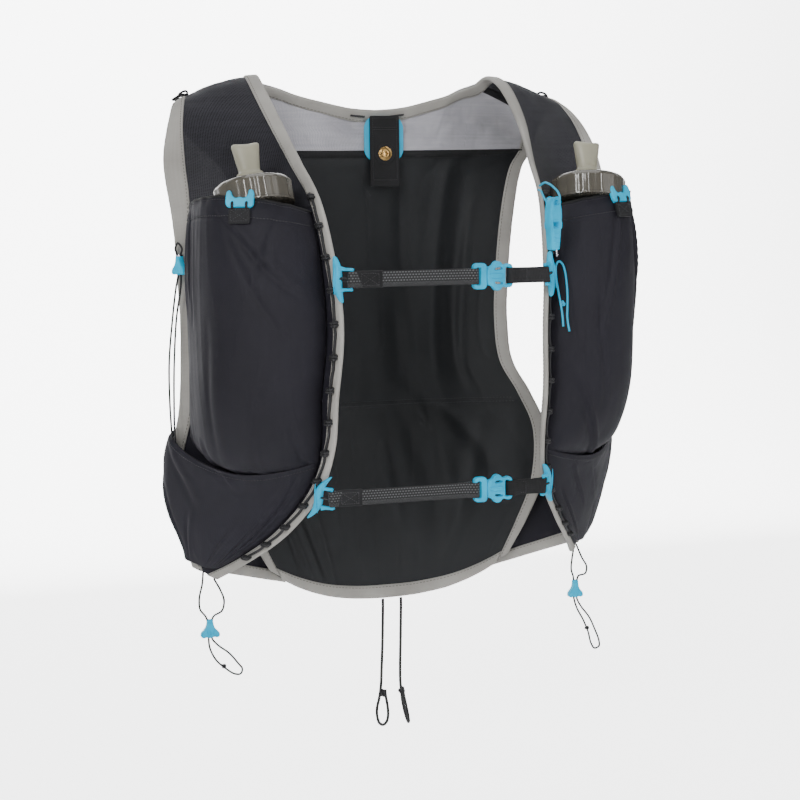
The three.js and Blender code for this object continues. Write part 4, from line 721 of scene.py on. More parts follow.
M = {
    "pocket": woven("pocket_cloth", rgb(0.0070, 0.0064, 0.0100), rgb(0.0170, 0.0158, 0.0232),
                    sheen=0.03, rough=0.66),
    "back": woven("back_cloth", rgb(0.0076, 0.0082, 0.0092), rgb(0.0215, 0.0228, 0.0250),
                  sheen=0.03, rough=0.52),
    "strap": cross_mesh("shoulder_mesh", rgb(0.004, 0.004, 0.006), rgb(0.034, 0.033, 0.042),
                        0.0019, 0.1, 0.04),
    # the sheer yoke's dark colour is painted shade: its blotches stand in for the shadows of wrinkles
    "yoke": cross_mesh("sheer_mesh", rgb(0.16, 0.155, 0.182), rgb(0.62, 0.608, 0.665), 0.0011,
                       0.28, 0.05, 0.25),
    "binding": ribbed("binding", rgb(0.27, 0.258, 0.236), rgb(0.43, 0.415, 0.385), 0.0011, sheen=0.1),
    "thread": ribbed("thread", rgb(0.10, 0.095, 0.085), rgb(0.18, 0.17, 0.155), 0.0006, sheen=0.05),
    "black_thread": ribbed("black_thread", rgb(0.018, 0.018, 0.02), rgb(0.06, 0.06, 0.065),
                           0.0006, sheen=0.05),
    "tape": ribbed("black_tape", rgb(0.0045, 0.0045, 0.005), rgb(0.019, 0.019, 0.021), 0.0013, sheen=0.04),
    "ladder": ladder("ladder_webbing"),
    # cyan plastic and cyan cord carry a painted glow: a small emission that brightens them beyond their
    # lighting
    "cyan": plastic("cyan_plastic", rgb(0.0, 0.26, 0.44), rgb(0.0, 0.39, 0.62), 0.4, 0.36, 0.15),
    "cyan_cord": braid("cyan_cord", rgb(0.0, 0.16, 0.28), rgb(0.0, 0.40, 0.64), painted_glow=0.32),
    "cord": braid("black_cord", rgb(0.003, 0.003, 0.004), rgb(0.018, 0.018, 0.020)),
    "smoke": clear("smoky_plastic", rgb(0.135, 0.122, 0.098), 0.08, 0.30, coat=0.7),
    "flask": clear("water_flask", rgb(0.16, 0.165, 0.16), 0.12, 0.7),
    "valve": clear("silicone", rgb(0.50, 0.48, 0.37), 0.28, 0.25, 0.35),
    "ring": clear("clear_ring", rgb(0.55, 0.55, 0.50), 0.12, 0.6),
    "brass": metal("aged_brass", rgb(0.30, 0.17, 0.05), rgb(0.62, 0.40, 0.16)),
    "silver": metal("plated_metal", rgb(0.55, 0.52, 0.58), rgb(0.85, 0.82, 0.88), 0.2),
    "zip": plastic("zip_teeth", rgb(0.006, 0.006, 0.007), rgb(0.025, 0.025, 0.028), 0.4),
}
SIDES = (("left", 1), ("right", -1))

# Cords first: their routes are the same as in the solids
ROUTES = {
    "hem_cord_right": [
        [-5, 41, -454.8], [-5, 41, -461], [-5.4, 41, -478], [-6, 41, -498], [-7, 41, -518], [-7.8, 41, -534],
        [-9.4, 41, -545], [-11.9, 41, -556], [-11.6, 41, -564], [-9.6, 41, -569.6], [-6.4, 41, -571.4],
        [-3.3, 41, -569.4], [-1.5, 41, -563.6], [-1.9, 41, -554], [-3.4, 41, -545], [-3.9, 41, -539]],
    "hem_cord_left": [
        [12, 41, -454.7], [12, 41, -461], [11.6, 41, -478], [11.1, 41, -498], [10.7, 41.4, -516],
        [10.8, 42, -531], [12, 43.6, -542], [13.9, 46, -553], [15.6, 46, -561.6], [17, 44, -568.4],
        [17.6, 41, -571], [17.2, 37.8, -569.4], [15.9, 35.8, -563], [14, 35.8, -553], [12.4, 37.4, -543],
        [11.9, 38.2, -537]],
    "corner_cord_right": [
        [-172, 17, -412.2], [-173.2, 16, -422], [-176.4, 14, -434], [-176.2, 13, -443.5],
        [-171.4, 13, -450.5], [-169.5, 13, -457], [-169.5, 13, -468], [-168.6, 13, -478], [-163.5, 13, -489],
        [-155, 13, -497.5], [-147.5, 13, -502.8], [-142.3, 13, -503.2], [-140.7, 13, -499], [-144, 13, -494],
        [-152, 13, -484], [-161, 13, -476.5], [-166.6, 13, -469.5], [-166.8, 13, -457], [-164.6, 13, -450.5],
        [-157.5, 12, -446], [-155.6, 11, -437], [-158.5, 10, -428], [-164.5, 8, -416.6]],
    "corner_cord_left": [
        [166.7, 9, -415.6], [165.6, 10, -425], [165.8, 12, -435], [168.2, 13, -442], [168.5, 13, -449],
        [168.5, 13, -460], [171.6, 13, -471], [178, 13, -483], [183, 13, -495], [185.6, 13, -505],
        [189.2, 13, -510.6], [193.8, 13, -509], [193.6, 13, -503.4], [189.6, 13, -493], [184, 13, -481],
        [175.4, 13, -469.5], [171.5, 13, -461.5], [171.5, 13, -449], [173.2, 13, -441.6], [179.8, 13, -439.8],
        [181.6, 13.6, -433.6], [177.4, 15, -425], [172.4, 16.6, -412.4]],
    "side_cord": [
        [-197.6, 3.4, -304], [-198.4, -0.6, -292], [-200.2, -5.6, -262], [-200.4, -9.4, -228],
        [-197.2, -12.6, -192], [-194, -15.4, -166], [-192.5, -17.1, -157], [-192.5, -17.1, -141],
        [-193.8, -15.2, -134.6], [-192, -17.4, -130.2], [-189.3, -20.6, -134.6], [-190.3, -18.9, -141],
        [-190.3, -18.9, -157], [-191, -19.6, -166], [-194.6, -16.4, -192], [-197, -14, -228],
        [-197.4, -9.8, -262], [-196.6, -4.6, -292], [-195.2, -0.6, -304]],
    "whistle_cord": [
        [88.6, -106.5, -87.4], [88, -119, -85], [88.5, -127, -86], [89.5, -135, -89], [90.2, -141.5, -92.5],
        [90.6, -144.5, -96.5], [90.3, -144, -100], [89.7, -139.8, -100.6], [88.5, -136, -100.6],
        [87.2, -131.7, -100.6], [86.2, -128.5, -100], [85.4, -124.5, -97.5], [85, -121.3, -94],
        [85, -118, -91.5], [86, -110.5, -90.6]],
    "pull_cord": [
        [98.4, -132.5, -200], [98.2, -131.5, -192], [97.6, -130, -184], [96.6, -127.5, -174],
        [96, -124.5, -164], [96.2, -122, -156], [97.4, -120.4, -150.6], [100, -119.6, -148.2],
        [102.6, -120.6, -150.4], [104, -122.4, -156], [104.2, -125.4, -165], [103.6, -128.6, -175],
        [102.6, -131, -184], [101.8, -132.6, -192], [102.2, -133.4, -198], [103.2, -133.8, -204]],
}


def route(name):
    return catmull(ROUTES[name], np.linspace(0, 1, 500))


DIAMETER = {"hem_cord_right": 2.6, "hem_cord_left": 2.6, "corner_cord_right": 1.7, "corner_cord_left": 1.7,
            "side_cord": 1.7, "whistle_cord": 1.7, "pull_cord": 1.7}


def overhand(name, centre, axis, radius, material, slot, turn=0.0, squeeze=0.62):
    # an overhand knot drawn tight: a trefoil whose loops touch
    t = np.linspace(0, 2 * np.pi, 90)
    x, y = (np.sin(t) + 2 * np.sin(2 * t)) * squeeze, -np.sin(3 * t)
    z = (np.cos(t) - 2 * np.cos(2 * t)) * 0.8
    axis = unit(np.asarray(axis, float))
    side = unit(np.cross(axis, [math.sin(turn), math.cos(turn), 0.1]))
    other = np.cross(axis, side)
    loops = np.outer(x, side) + np.outer(y, other) + np.outer(z, axis)
    line = np.asarray(centre, float) + radius * 0.95 * loops
    return piece(name, tube(line, radius * 0.92, 10, radius * 0.3), material, slot)


def add_cord(name, material, knots):
    path = route(name)
    radius = DIAMETER[name] / 2
    cord = piece(name + "_braided", tube(path, radius, 12, 0.7), material, name, name)
    lumps = [overhand(f"{name}_knot_{i}", centre, axis, radius, material, name, turn)
             for i, (centre, axis, turn) in enumerate(knots)]


# Edges of the cloth, as stations for the bindings
def across_way(way, normal):
    return unit(normal - way * (normal * way).sum(-1, keepdims=True))


def strip_stations(side, edge, t):
    share = BINDING / strip_width(t)
    at = np.zeros_like(t) if edge == 0 else np.ones_like(t)
    inside = share if edge == 0 else 1 - share
    point = strip(side, at, t)
    into = unit(strip(side, inside, t) - point)
    return point, into, across_way(into, strip_out(side, t))


def sheet_stations(surface, u, v, inside_u, inside_v):
    point = surface(u, v)
    into = unit(surface(inside_u, inside_v) - point)
    run = unit(np.gradient(point, axis=0))
    return point, into, across_way(into, unit(np.cross(run, into)))


def smoothed(values, width):
    # each station as the mean of those around it, the near ones counting most
    kernel = np.hanning(width) / np.hanning(width).sum()
    pad = width // 2
    wide = np.concatenate([np.repeat(values[:1], pad, 0), values, np.repeat(values[-1:], pad, 0)])
    return np.stack([np.convolve(wide[:, k], kernel, "valid") for k in range(3)], -1)


def run_stations(parts):
    points, intos, normals = [], [], []
    for point, into, normal in parts:
        if normals and (normal[0] * normals[-1][-1]).sum() < 0:
            normal = -normal
        points.append(point)
        intos.append(into)
        normals.append(normal)
    p, a, n = np.concatenate(points), np.concatenate(intos), np.concatenate(normals)
    keep = np.concatenate([[True], np.linalg.norm(np.diff(p, axis=0), axis=-1) > 0.2])
    p, a, n = p[keep], a[keep], n[keep]
    run = run_along(p)
    at = np.linspace(0, run[-1], int(run[-1] / 1.6) + 1)
    p, a, n = [at_run(at, run, q) for q in (p, a, n)]
    p, a, n = smoothed(p, 7), unit(smoothed(a, 15)), smoothed(n, 15)
    return p, a, across_way(a, n), at


def stitch_row(path, normals, pitch=3.2, length=2.2, radius=0.32, across=False):
    run = run_along(path)
    at = np.arange(pitch / 2, run[-1], pitch)
    c = at_run(at, run, path)
    x = unit(at_run(at + 0.3, run, path) - at_run(at - 0.3, run, path))
    n = across_way(x, at_run(at, run, normals))
    b = np.cross(x, n)
    if across:
        x, b = b, -x
    rings = []
    for share, size in ((-0.5, 0.3), (-0.36, 1.0), (0.36, 1.0), (0.5, 0.3)):
        for k in range(6):
            angle = k * np.pi / 3
            rings.append(c + x * share * length + b * math.cos(angle) * radius * size
                         + n * math.sin(angle) * radius * size)
    verts = np.stack(rings, 1)
    faces = [[i * 6 + k, i * 6 + (k + 1) % 6, (i + 1) * 6 + (k + 1) % 6, (i + 1) * 6 + k]
             for i in range(3) for k in range(6)]
    ends = [[5, 4, 3, 2, 1, 0], [18, 19, 20, 21, 22, 23]]
    base = (np.arange(len(c)) * 24)[:, None, None]
    uv = np.tile(np.array([[i * 0.0005, k * 0.0002] for i in range(4) for k in range(6)]), (len(c), 1))
    return (verts.reshape(-1, 3) * MM, [(np.array(faces)[None] + base).reshape(-1, 4),
            (np.array(ends)[None] + base).reshape(-1, 6)], uv)


BIND_PROFILE = np.array([[-1.9, 0], [-1.65, 0.95], [-0.9, 1.65], [0.6, 2.0], [4.5, 2.1], [8.6, 2.0],
                         [9.7, 1.75], [10.1, 1.2], [10.1, -1.2], [9.7, -1.75], [8.6, -2.0], [4.5, -2.1],
                         [0.6, -2.0], [-0.9, -1.65], [-1.65, -0.95]])


def add_binding(name, parts, flare=()):
    p, a, n, at = run_stations(parts)
    ripple = noise(at / 9.0, at * 0 + 3.3, 5) * 0.9 + noise(at / 2.6, at * 0 + 9.1, 6) * 0.35
    prof = np.repeat(BIND_PROFILE[None], len(p), 0).copy()
    prof[..., 0] += ripple[:, None] * 0.35 * (prof[..., 0] < 1)
    for middle, width, much in flare:
        prof[..., 0] -= (much * bump(at / at[-1] - middle, width))[:, None] * (prof[..., 0] < 6)
    pinch = 0.12 * np.cos(at * 2 * np.pi / 3.2)[:, None]
    prof[..., 1] *= 1 + pinch * bump(prof[..., 0] - 8.2, 1.4) + 0.05 * ripple[:, None]
    piece(name + "_folded", sweep(p, a, n, prof), "binding", name, name)
    rows = [stitch_row(p + a * 8.2 + n * sign * 2.0, n * sign) for sign in (1, -1)]
    piece(name + "_stitches", join(rows), "thread", name)


def add_sheet(name, surface, us, vs, material, node, relief=None, thickness=1.0):
    u, v = np.meshgrid(us, vs, indexing="ij")
    p = surface(u, v)
    if relief is not None:
        p = p + grid_normals(p) * relief(u, v)[..., None]
    obj = mend_normals(cloth(name, p, thickness, M[material], node, node))
    return p


def edge_fade(u, v, reach=0.06):
    return smooth(u, 0, reach) * smooth(1 - u, 0, reach) * smooth(v, 0, reach) * smooth(1 - v, 0, reach)


# Folds of the pockets: two ends as places across and down, width and depth in millimetres
BOTTLE_SIZE, LOWER_SIZE = (150.0, 250.0), (190.0, 100.0)
BOTTLE_FOLDS = {
    -1: [(0.50, 0.07, 0.02, 0.25, 7.0, 2.6), (0.44, 0.10, 0.08, 0.38, 9.0, 1.6),
         (0.94, 0.02, 0.90, 0.34, 4.0, 2.2), (0.86, 0.02, 0.84, 0.28, 4.0, -1.6),
         (0.78, 0.04, 0.80, 0.36, 6.0, 1.4), (0.10, 0.06, 0.30, 0.24, 6.0, -1.8),
         (0.52, 0.86, 0.30, 1.00, 5.0, 3.2), (0.36, 0.84, 0.16, 0.97, 5.0, 2.6),
         (0.98, 0.88, 0.80, 1.00, 7.0, 2.0), (0.72, 0.70, 0.62, 1.00, 9.0, -1.6),
         (0.10, 0.55, 0.02, 0.95, 8.0, 1.6), (0.60, 0.30, 0.52, 0.86, 14.0, 1.2),
         (0.20, 0.30, 0.34, 0.80, 16.0, -1.4), (0.90, 0.45, 0.86, 0.90, 9.0, 1.3)],
    1: [(0.46, 0.08, 0.58, 0.24, 5.0, 2.4), (0.50, 0.12, 0.78, 0.52, 7.0, 2.4),
        (0.04, 0.48, 0.40, 0.93, 8.0, 3.0), (0.38, 0.88, 0.66, 1.00, 6.0, 2.8),
        (0.62, 0.86, 0.46, 1.00, 6.0, -2.0), (0.30, 0.06, 0.16, 0.40, 7.0, 1.5),
        (0.74, 0.40, 0.84, 0.92, 9.0, 1.5), (0.12, 0.20, 0.22, 0.60, 10.0, -1.4),
        (0.90, 0.04, 0.92, 0.40, 5.0, 1.8)],
}
# Lower pocket, with the same columns: it hangs over the outer edge and holds the bottle pocket's foot
LOWER_CLOTH = np.array([
    [0.262, 1.95, 0.50, 0.62, -0.028, 0.0], [0.246, 1.78, 0.52, 0.58, -0.028, 0.0],
    [0.215, 1.45, 0.56, 0.52, -0.022, 0.0], [0.175, 1.20, 0.60, 0.48, -0.014, 0.0],
    [0.130, 1.00, 0.60, 0.48, -0.006, 0.0], [0.085, 0.80, 0.58, 0.52, 0.000, 0.0],
    [0.030, 0.45, 0.52, 0.70, 0.000, 0.0]])


def lower_pocket(side, u, v):
    body = u / 0.93
    p = pocket(side, LOWER_CLOTH, LOWER_DEPTH, body, v)
    held = np.clip(body, 0, 1)
    along = col(LOWER_CLOTH, v)[..., 0] + col(LOWER_CLOTH, v)[..., 4] * 4 * held * (1 - held)
    inner, outer, _ = strip_ends(side, along)
    way, out = unit(outer - inner), strip_out(side, along)
    reach = (BINDING + 4.0 + 5.0 * arch(0.15 + v * 0.9)) * smooth(body, 0.45, 0.97)
    turn = smooth(u, 0.90, 1.0)
    lift = 3.4 * smooth(body, 0.6, 0.95) - 9.0 * turn
    return p + way * (reach - 2.0 * turn)[..., None] + out * lift[..., None]


LOWER_FOLDS = {
    -1: [(0.06, 0.10, 0.10, 0.95, 6.0, 2.2), (0.14, 0.35, 0.20, 1.00, 7.0, -1.8),
         (0.30, 0.55, 0.42, 1.00, 8.0, 1.6), (0.90, 0.10, 0.60, 0.55, 10.0, 1.6),
         (0.95, 0.35, 0.80, 0.95, 8.0, -1.8), (0.55, 0.00, 0.40, 0.30, 8.0, 1.3),
         (0.66, 0.55, 0.74, 1.00, 7.0, 1.8)],
    1: [(0.15, 0.05, 0.30, 0.60, 7.0, 2.2), (0.35, 0.10, 0.60, 0.80, 9.0, -1.8),
        (0.70, 0.05, 0.85, 0.70, 8.0, 1.8), (0.08, 0.40, 0.14, 1.00, 6.0, 1.8),
        (0.50, 0.60, 0.62, 1.00, 7.0, 1.4)],
}


def fold_sum(u, v, size, folds):
    w, l = size
    total = np.zeros_like(u)
    for u0, v0, u1, v1, width, depth in folds:
        total += crease(u * w, v * l, (u0 * w, v0 * l, u1 * w, v1 * l), width, depth)
    return total


def bottle_relief(side):
    def relief(u, v):
        w, l = BOTTLE_SIZE
        big = noise(u * 3.1, v * 4.3, 11 + side) * 2.0 + noise(u * 7.0 + v * 2, v * 5.0, 13 + side) * 0.9
        pleat = ridge(u * 15 + noise(u * 3, v * 3, 4) * 2, v * 2.2, 17 + side) * 0.35
        gather = np.sin(u * w / 3.4 + noise(u * 9, v * 0, 3) * 5) * 0.45 * bump(v, 0.035)
        gather += np.sin(u * w / 5.2 + noise(u * 6, v * 0, 8) * 6) * 0.55 * bump(1 - v, 0.07)
        hem = -0.55 * bump(v * l - 22, 1.1)
        folds = (fold_sum(u, v, BOTTLE_SIZE, BOTTLE_FOLDS[side]) + big + pleat) * edge_fade(u, v, 0.05)
        return folds * 0.85 + (gather + hem) * smooth(u, 0, 0.04) * smooth(1 - u, 0, 0.04)
    return relief


def lower_relief(side):
    def relief(u, v):
        big = noise(u * 3.7, v * 2.3, 31 + side) * 2.2 + noise(u * 8.0, v * 5.0 + u * 3, 33 + side) * 0.9
        fine = ridge(u * 13, v * 4 + u * 3, 35 + side) * 0.3
        return (fold_sum(u, v, LOWER_SIZE, LOWER_FOLDS[side]) * 0.6 + big + fine) * edge_fade(u, v, 0.08)
    return relief


# Folds of the back panel: ends across from -1 to 1 and down, width and depth in millimetres
BACK_RIPPLES = [(0.10, 0.55, 0.55, 0.90, 22.4, 2.40), (0.30, 0.60, 0.75, 0.80, 19.6, -1.92),
                (-0.20, 0.70, 0.35, 0.98, 22.4, 1.80), (-0.70, 0.80, -0.62, 1.00, 8.4, 1.44),
                (-0.60, 0.78, -0.50, 1.00, 8.4, -1.32), (-0.48, 0.82, -0.44, 1.00, 8.4, 1.20),
                (0.50, 0.02, 0.40, 0.55, 16.8, 1.92), (0.15, 0.05, 0.30, 0.50, 16.8, -1.56),
                (-0.35, 0.30, -0.30, 0.60, 16.8, 1.32), (0.70, 0.15, 0.62, 0.60, 11.2, 1.44),
                (0.00, 0.62, 0.20, 0.98, 16.8, -1.44), (0.62, 0.66, 0.40, 0.98, 16.8, 1.56)]


def back_relief(a, d):
    u = (a + 1) / 2
    total = np.zeros_like(a)
    for a0, d0, a1, d1, width, depth in BACK_RIPPLES:
        total += crease(a * 130, d * 400, (a0 * 130, d0 * 400, a1 * 130, d1 * 400), width, depth)
    total += (noise(u * 4, d * 5, 41) * 4.0 + noise(u * 9 + d * 3, d * 8, 43) * 1.6
              + ridge(u * 16, d * 5, 45) * 0.4)
    seam = -0.8 * bump((d - 0.622) * 400, 1.3)
    return (total * edge_fade(u, d, 0.07) + seam * smooth(u, 0, 0.03) * smooth(1 - u, 0, 0.03))


def panel_relief(side, u, v):
    return (noise(u * 5, v * 9, 71 + side) * 1.6 + noise(u * 11, v * 20, 73) * 0.5) * edge_fade(u, v)


def strap_relief(side, u, v):
    return (noise(u * 4, v * 5, 75 + side) * 2.4 + ridge(u * 6, v * 9, 77) * 0.4) * edge_fade(u, v, 0.12)


def yoke_relief(u, v):
    w = (u + 1) / 2
    folds = (noise(w * 16, v * 3, 51) * 4.0 + noise(w * 34 + v * 4, v * 5, 53) * 1.5
             + ridge(w * 40, v * 3, 55) * 0.5)
    return folds * edge_fade(w, v, 0.1)


def pack_relief(a, d):
    u = (a + 1) / 2
    return (noise(u * 4, d * 5, 61) * 5.0 + noise(u * 9, d * 11, 63) * 2.0 + ridge(u * 14, d * 7, 65) * 0.5
            - 0.9 * bump((d - 0.07) * 380, 1.4)) * edge_fade(u, d, 0.06)


SEWN_LIFT = BIND_FACE + GAP + POCKET_WALL / 2


def back_normal(a, d):
    e = 0.004
    du = back(a + e, d) - back(a - e, d)
    dv = back(a, np.minimum(d + e, 1)) - back(a, np.maximum(d - e, 0))
    return unit(np.cross(du, dv))


def pack(a, d):
    place, across = 0.10 + 0.855 * d, a * 0.80
    lift = SEAT + PACK_EASE + PACK_DEPTH * arch(0.22 + 0.78 * d) ** 0.6 * (1 - a ** 4)
    return back(across, place) + back_normal(across, place) * lift[..., None]


def wing(side):
    def surface(u, v):
        place = 0.72 + 0.28 * v
        edge = np.full_like(place, side * 0.86)
        on_back = back(edge, place) + back_normal(edge, place) * (SEWN_LIFT + BIND_GAP + BIND_WALL)
        along = 0.17 * (1 - v)
        on_front = strip(side, 1 - BINDING / 2 / strip_width(along), along, -SEWN_LIFT)
        slack = (POCKET_WALL * 4 * u * (1 - u))[..., None]
        return on_back + (on_front - on_back) * u[..., None] + slack * [side, 1.0, 0]
    return surface


def lines(a, b, count):
    return np.linspace(a, b, count)


def add_cloth():
    for name, side in SIDES:
        add_sheet(f"panel_cloth_{name}", lambda u, v: strip(side, u, v * STRAP_FROM), lines(0, 1, 50),
                  lines(0, 1.004, 110), "pocket", f"front_panel_{name}",
                  relief=lambda u, v: panel_relief(side, u, v))
        add_sheet(f"shoulder_cloth_{name}", lambda u, v: strip(side, u, STRAP_FROM + v * (1 - STRAP_FROM)),
                  lines(0, 1, 44), lines(-0.006, 1, 90), "strap", f"front_strap_{name}",
                  relief=lambda u, v: strap_relief(side, u, v))
        bottle = add_sheet(f"bottle_cloth_{name}", lambda u, v: pocket(side, BOTTLE, BOTTLE_DEPTH, u, v),
                           (1 - np.cos(np.pi * lines(0, 1, 130))) / 2, lines(0, 1, 170), "pocket",
                           f"bottle_pocket_{name}", bottle_relief(side), 0.9)
        lower = add_sheet(f"lower_cloth_{name}", lambda u, v: lower_pocket(side, u, v),
                          (1 - np.cos(np.pi * lines(0, 1, 110))) / 2, lines(0, 1, 90), "pocket",
                          f"lower_pocket_{name}", lower_relief(side), 0.9)
        rows = []
        for grid, share in ((bottle, 0.086), (bottle, 0.012), (lower, 0.10)):
            out = grid_normals(grid)
            if (out[60, 40] * strip_out(side, 0.4)).sum() < 0:
                out = -out
            j = int(share * (grid.shape[1] - 1))
            rows.append(stitch_row(grid[4:-4, j] + out[4:-4, j] * 0.5, out[4:-4, j], 2.6, 1.7, 0.26))
        piece(f"pocket_stitches_{name}", join(rows), "black_thread", f"bottle_pocket_{name}")
        piece(f"mouth_elastic_{name}", tube(bottle[:, 0], 1.15, 10, 1.2), "tape", f"bottle_pocket_{name}")
        add_sheet(f"wing_cloth_{name}", wing(side), lines(0, 1, 30), lines(0, 1, 50), "pocket",
                  f"side_wing_{name}", relief=lambda u,
                  v: noise(u * 3, v * 4, 79) * 1.8 * edge_fade(u, v, 0.15))
    add_sheet("yoke_cloth", yoke, lines(-1, 1, 170), lines(-0.03, 1.035, 46), "yoke", "back_yoke",
              relief=yoke_relief, thickness=0.6)
    grid = add_sheet("back_cloth", back, lines(-1, 1, 150), lines(0, 1, 190), "back", "back_panel",
                     relief=back_relief)
    add_sheet("pack_cloth", pack, lines(-1, 1, 110), lines(0, 1, 140), "pocket", "back_pack",
              pack_relief)
    inner = -grid_normals(grid)
    rows = []
    for share, span in ((0.617, (8, 142)), (0.628, (8, 142)), (0.015, (20, 130))):
        j = int(share * 189)
        cut = slice(*span)
        rows.append(stitch_row(grid[cut, j] + inner[cut, j] * 0.5, inner[cut, j], 3.0, 1.7, 0.28))
    piece("back_stitches", join(rows), "black_thread", "back_panel")
    seam_tape("yoke_seam_tape", back(lines(-0.96, 0.96, 120), np.zeros(120)), FRONT, "back_panel")
    for name, side in SIDES:
        u = lines(0.06, 0.94, 50)
        seam_tape(f"shoulder_seam_tape_{name}", strip(side, u, np.ones(50)), strip_out(side, 1.0),
                  f"front_strap_{name}")


def seam_tape(name, path, out, node):
    run = unit(np.gradient(path, axis=0))
    n = across_way(run, np.broadcast_to(out, run.shape))
    wide = np.cross(run, n)
    flat = [(-3.4, 0), (-3.2, 0.9), (3.2, 0.9), (3.4, 0), (3.2, -0.9), (-3.2, -0.9)]
    piece(name, sweep(path, wide, n, flat), "tape", node)


# Where the elastic armhole binding turns out: place along it and width as shares, millimetres
ARMHOLE_FLARE = {-1: [(0.38, 0.05, 7.5), (0.20, 0.03, 1.5)], 1: [(0.53, 0.04, 1.5)]}


def add_bindings():
    t = lines(0, 1, 420)
    u = lines(-NECK_SHARE + 0.02, NECK_SHARE - 0.02, 160)
    zero = np.zeros_like(u)
    right = strip_stations(-1, 0, t)
    left = [q[::-1] for q in strip_stations(1, 0, t)]
    neck = sheet_stations(yoke, u, zero, u, zero + 0.1)
    add_binding("neck_binding", [right, neck, left])
    for name, side in SIDES:
        v = lines(0, 1, 60)
        one = np.full_like(v, side * 1.0)
        w = lines(0.01, 1, 260)
        wide = np.full_like(w, side * 1.0)
        parts = [strip_stations(side, 1, t), sheet_stations(yoke, one, v, one * 0.94, v),
                 sheet_stations(back, wide, w, wide * 0.92, w)]
        add_binding(f"armhole_binding_{name}", parts, ARMHOLE_FLARE[side])
        surface = wing(side)
        e = lines(0, 1, 60)
        parts = [sheet_stations(surface, e, zero[:60] + 1.0, e, zero[:60] + 0.9)]
        add_binding(f"wing_binding_{name}", parts)
    a = lines(-0.925, 0.925, 200)
    add_binding("hem_binding", [sheet_stations(back, a, a * 0 + 1.0, a, a * 0 + 0.975)])


LACE_LIFT, KNOT_SPACING = 4.1, 26.0


def add_lacing():
    for name, side in SIDES:
        t = lines(0.075, 0.585, 300)
        p, a, n = strip_stations(side, 0, t)
        path = p + a * 4.5 + n * LACE_LIFT
        run = run_along(path)
        count = int(run[-1] / KNOT_SPACING)
        knots = np.linspace(run[-1] * 0.01, run[-1] * 0.99, count + 1)
        near = np.min(np.abs(run[:, None] - knots[None]), 1)
        sway = np.sin(run / run[-1] * count * np.pi * 2) * 0.5
        path = path + a * sway[:, None] - n * (0.9 * (1 - bump(near, 5.0)))[:, None]
        parts = [tube(path, 1.1, 10, 1.0)]
        for at in knots:
            spot = at_run(at, run, path)
            k = int(np.argmin(np.abs(run - at)))
            along = unit(path[min(k + 2, 299)] - path[max(k - 2, 0)])
            angle = np.linspace(-0.3, 2 * np.pi * 1.7, 50)
            wrap = (spot + np.outer(np.cos(angle) * 3.2, a[k]) + np.outer(np.sin(angle) * 2.1, n[k])
                    + np.outer((angle / angle[-1] - 0.5) * 3.8, along))
            parts.append(tube(wrap, 1.15, 8, 0.6))
        piece(f"lacing_cord_{name}", join(parts), "cord", f"lacing_{name}", f"lacing_{name}")


# Rail clips, chest straps and buckles
CLIP_HALF, CLIP_REACH, PIN, WEB = 18.0, 12.5, 2.4, 12.5
PIN_SPAN = WEB + 2 * (PIN + GAP)
LACE_KNOT, CLIP_DEPTH, CLIP_SINK = 3.8, 3.4, 2.9
CLIP_LIFT = BIND_FACE + GAP + LACE_KNOT + CLIP_DEPTH / 2 - CLIP_SINK
LEVELS = {"upper": (7 / 14, 35.0), "lower": (3 / 14, 46.0)}


def clip_frame(side, level):
    along = LEVELS[level][0]
    edge = strip(side, 0.0, along)
    run = unit(strip(side, 0.0, along + 0.03) - strip(side, 0.0, along - 0.03))
    out = strip_out(side, along)
    out = unit(out - run * (run @ out))
    inwards = unit(np.cross(out, [0, 0, 1.0]))
    if inwards[0] * side > 0:
        inwards = -inwards
    up = unit(np.array([0, 0, 1.0]) - out * out[2])
    lean = math.atan2(run @ inwards, run @ up)
    return edge + out * CLIP_LIFT + inwards * 5.0, inwards, up, out, lean


def in_frame(points, origin, x, y, z):
    q = np.asarray(points, float)
    return origin + q[..., 0:1] * x + q[..., 1:2] * y + q[..., 2:3] * z


def rounded_bar(stations):
    # rings across x, each (x, y half, z half, y, z): a rounded rectangle
    rings = []
    for x, hy, hz, cy, cz in stations:
        r = 0.6 * min(hy, hz)
        rings.append([(x, py, pz) for py, pz in rounded(2 * hy, 2 * hz, r, cy, cz, 5)])
    return np.array(rings)


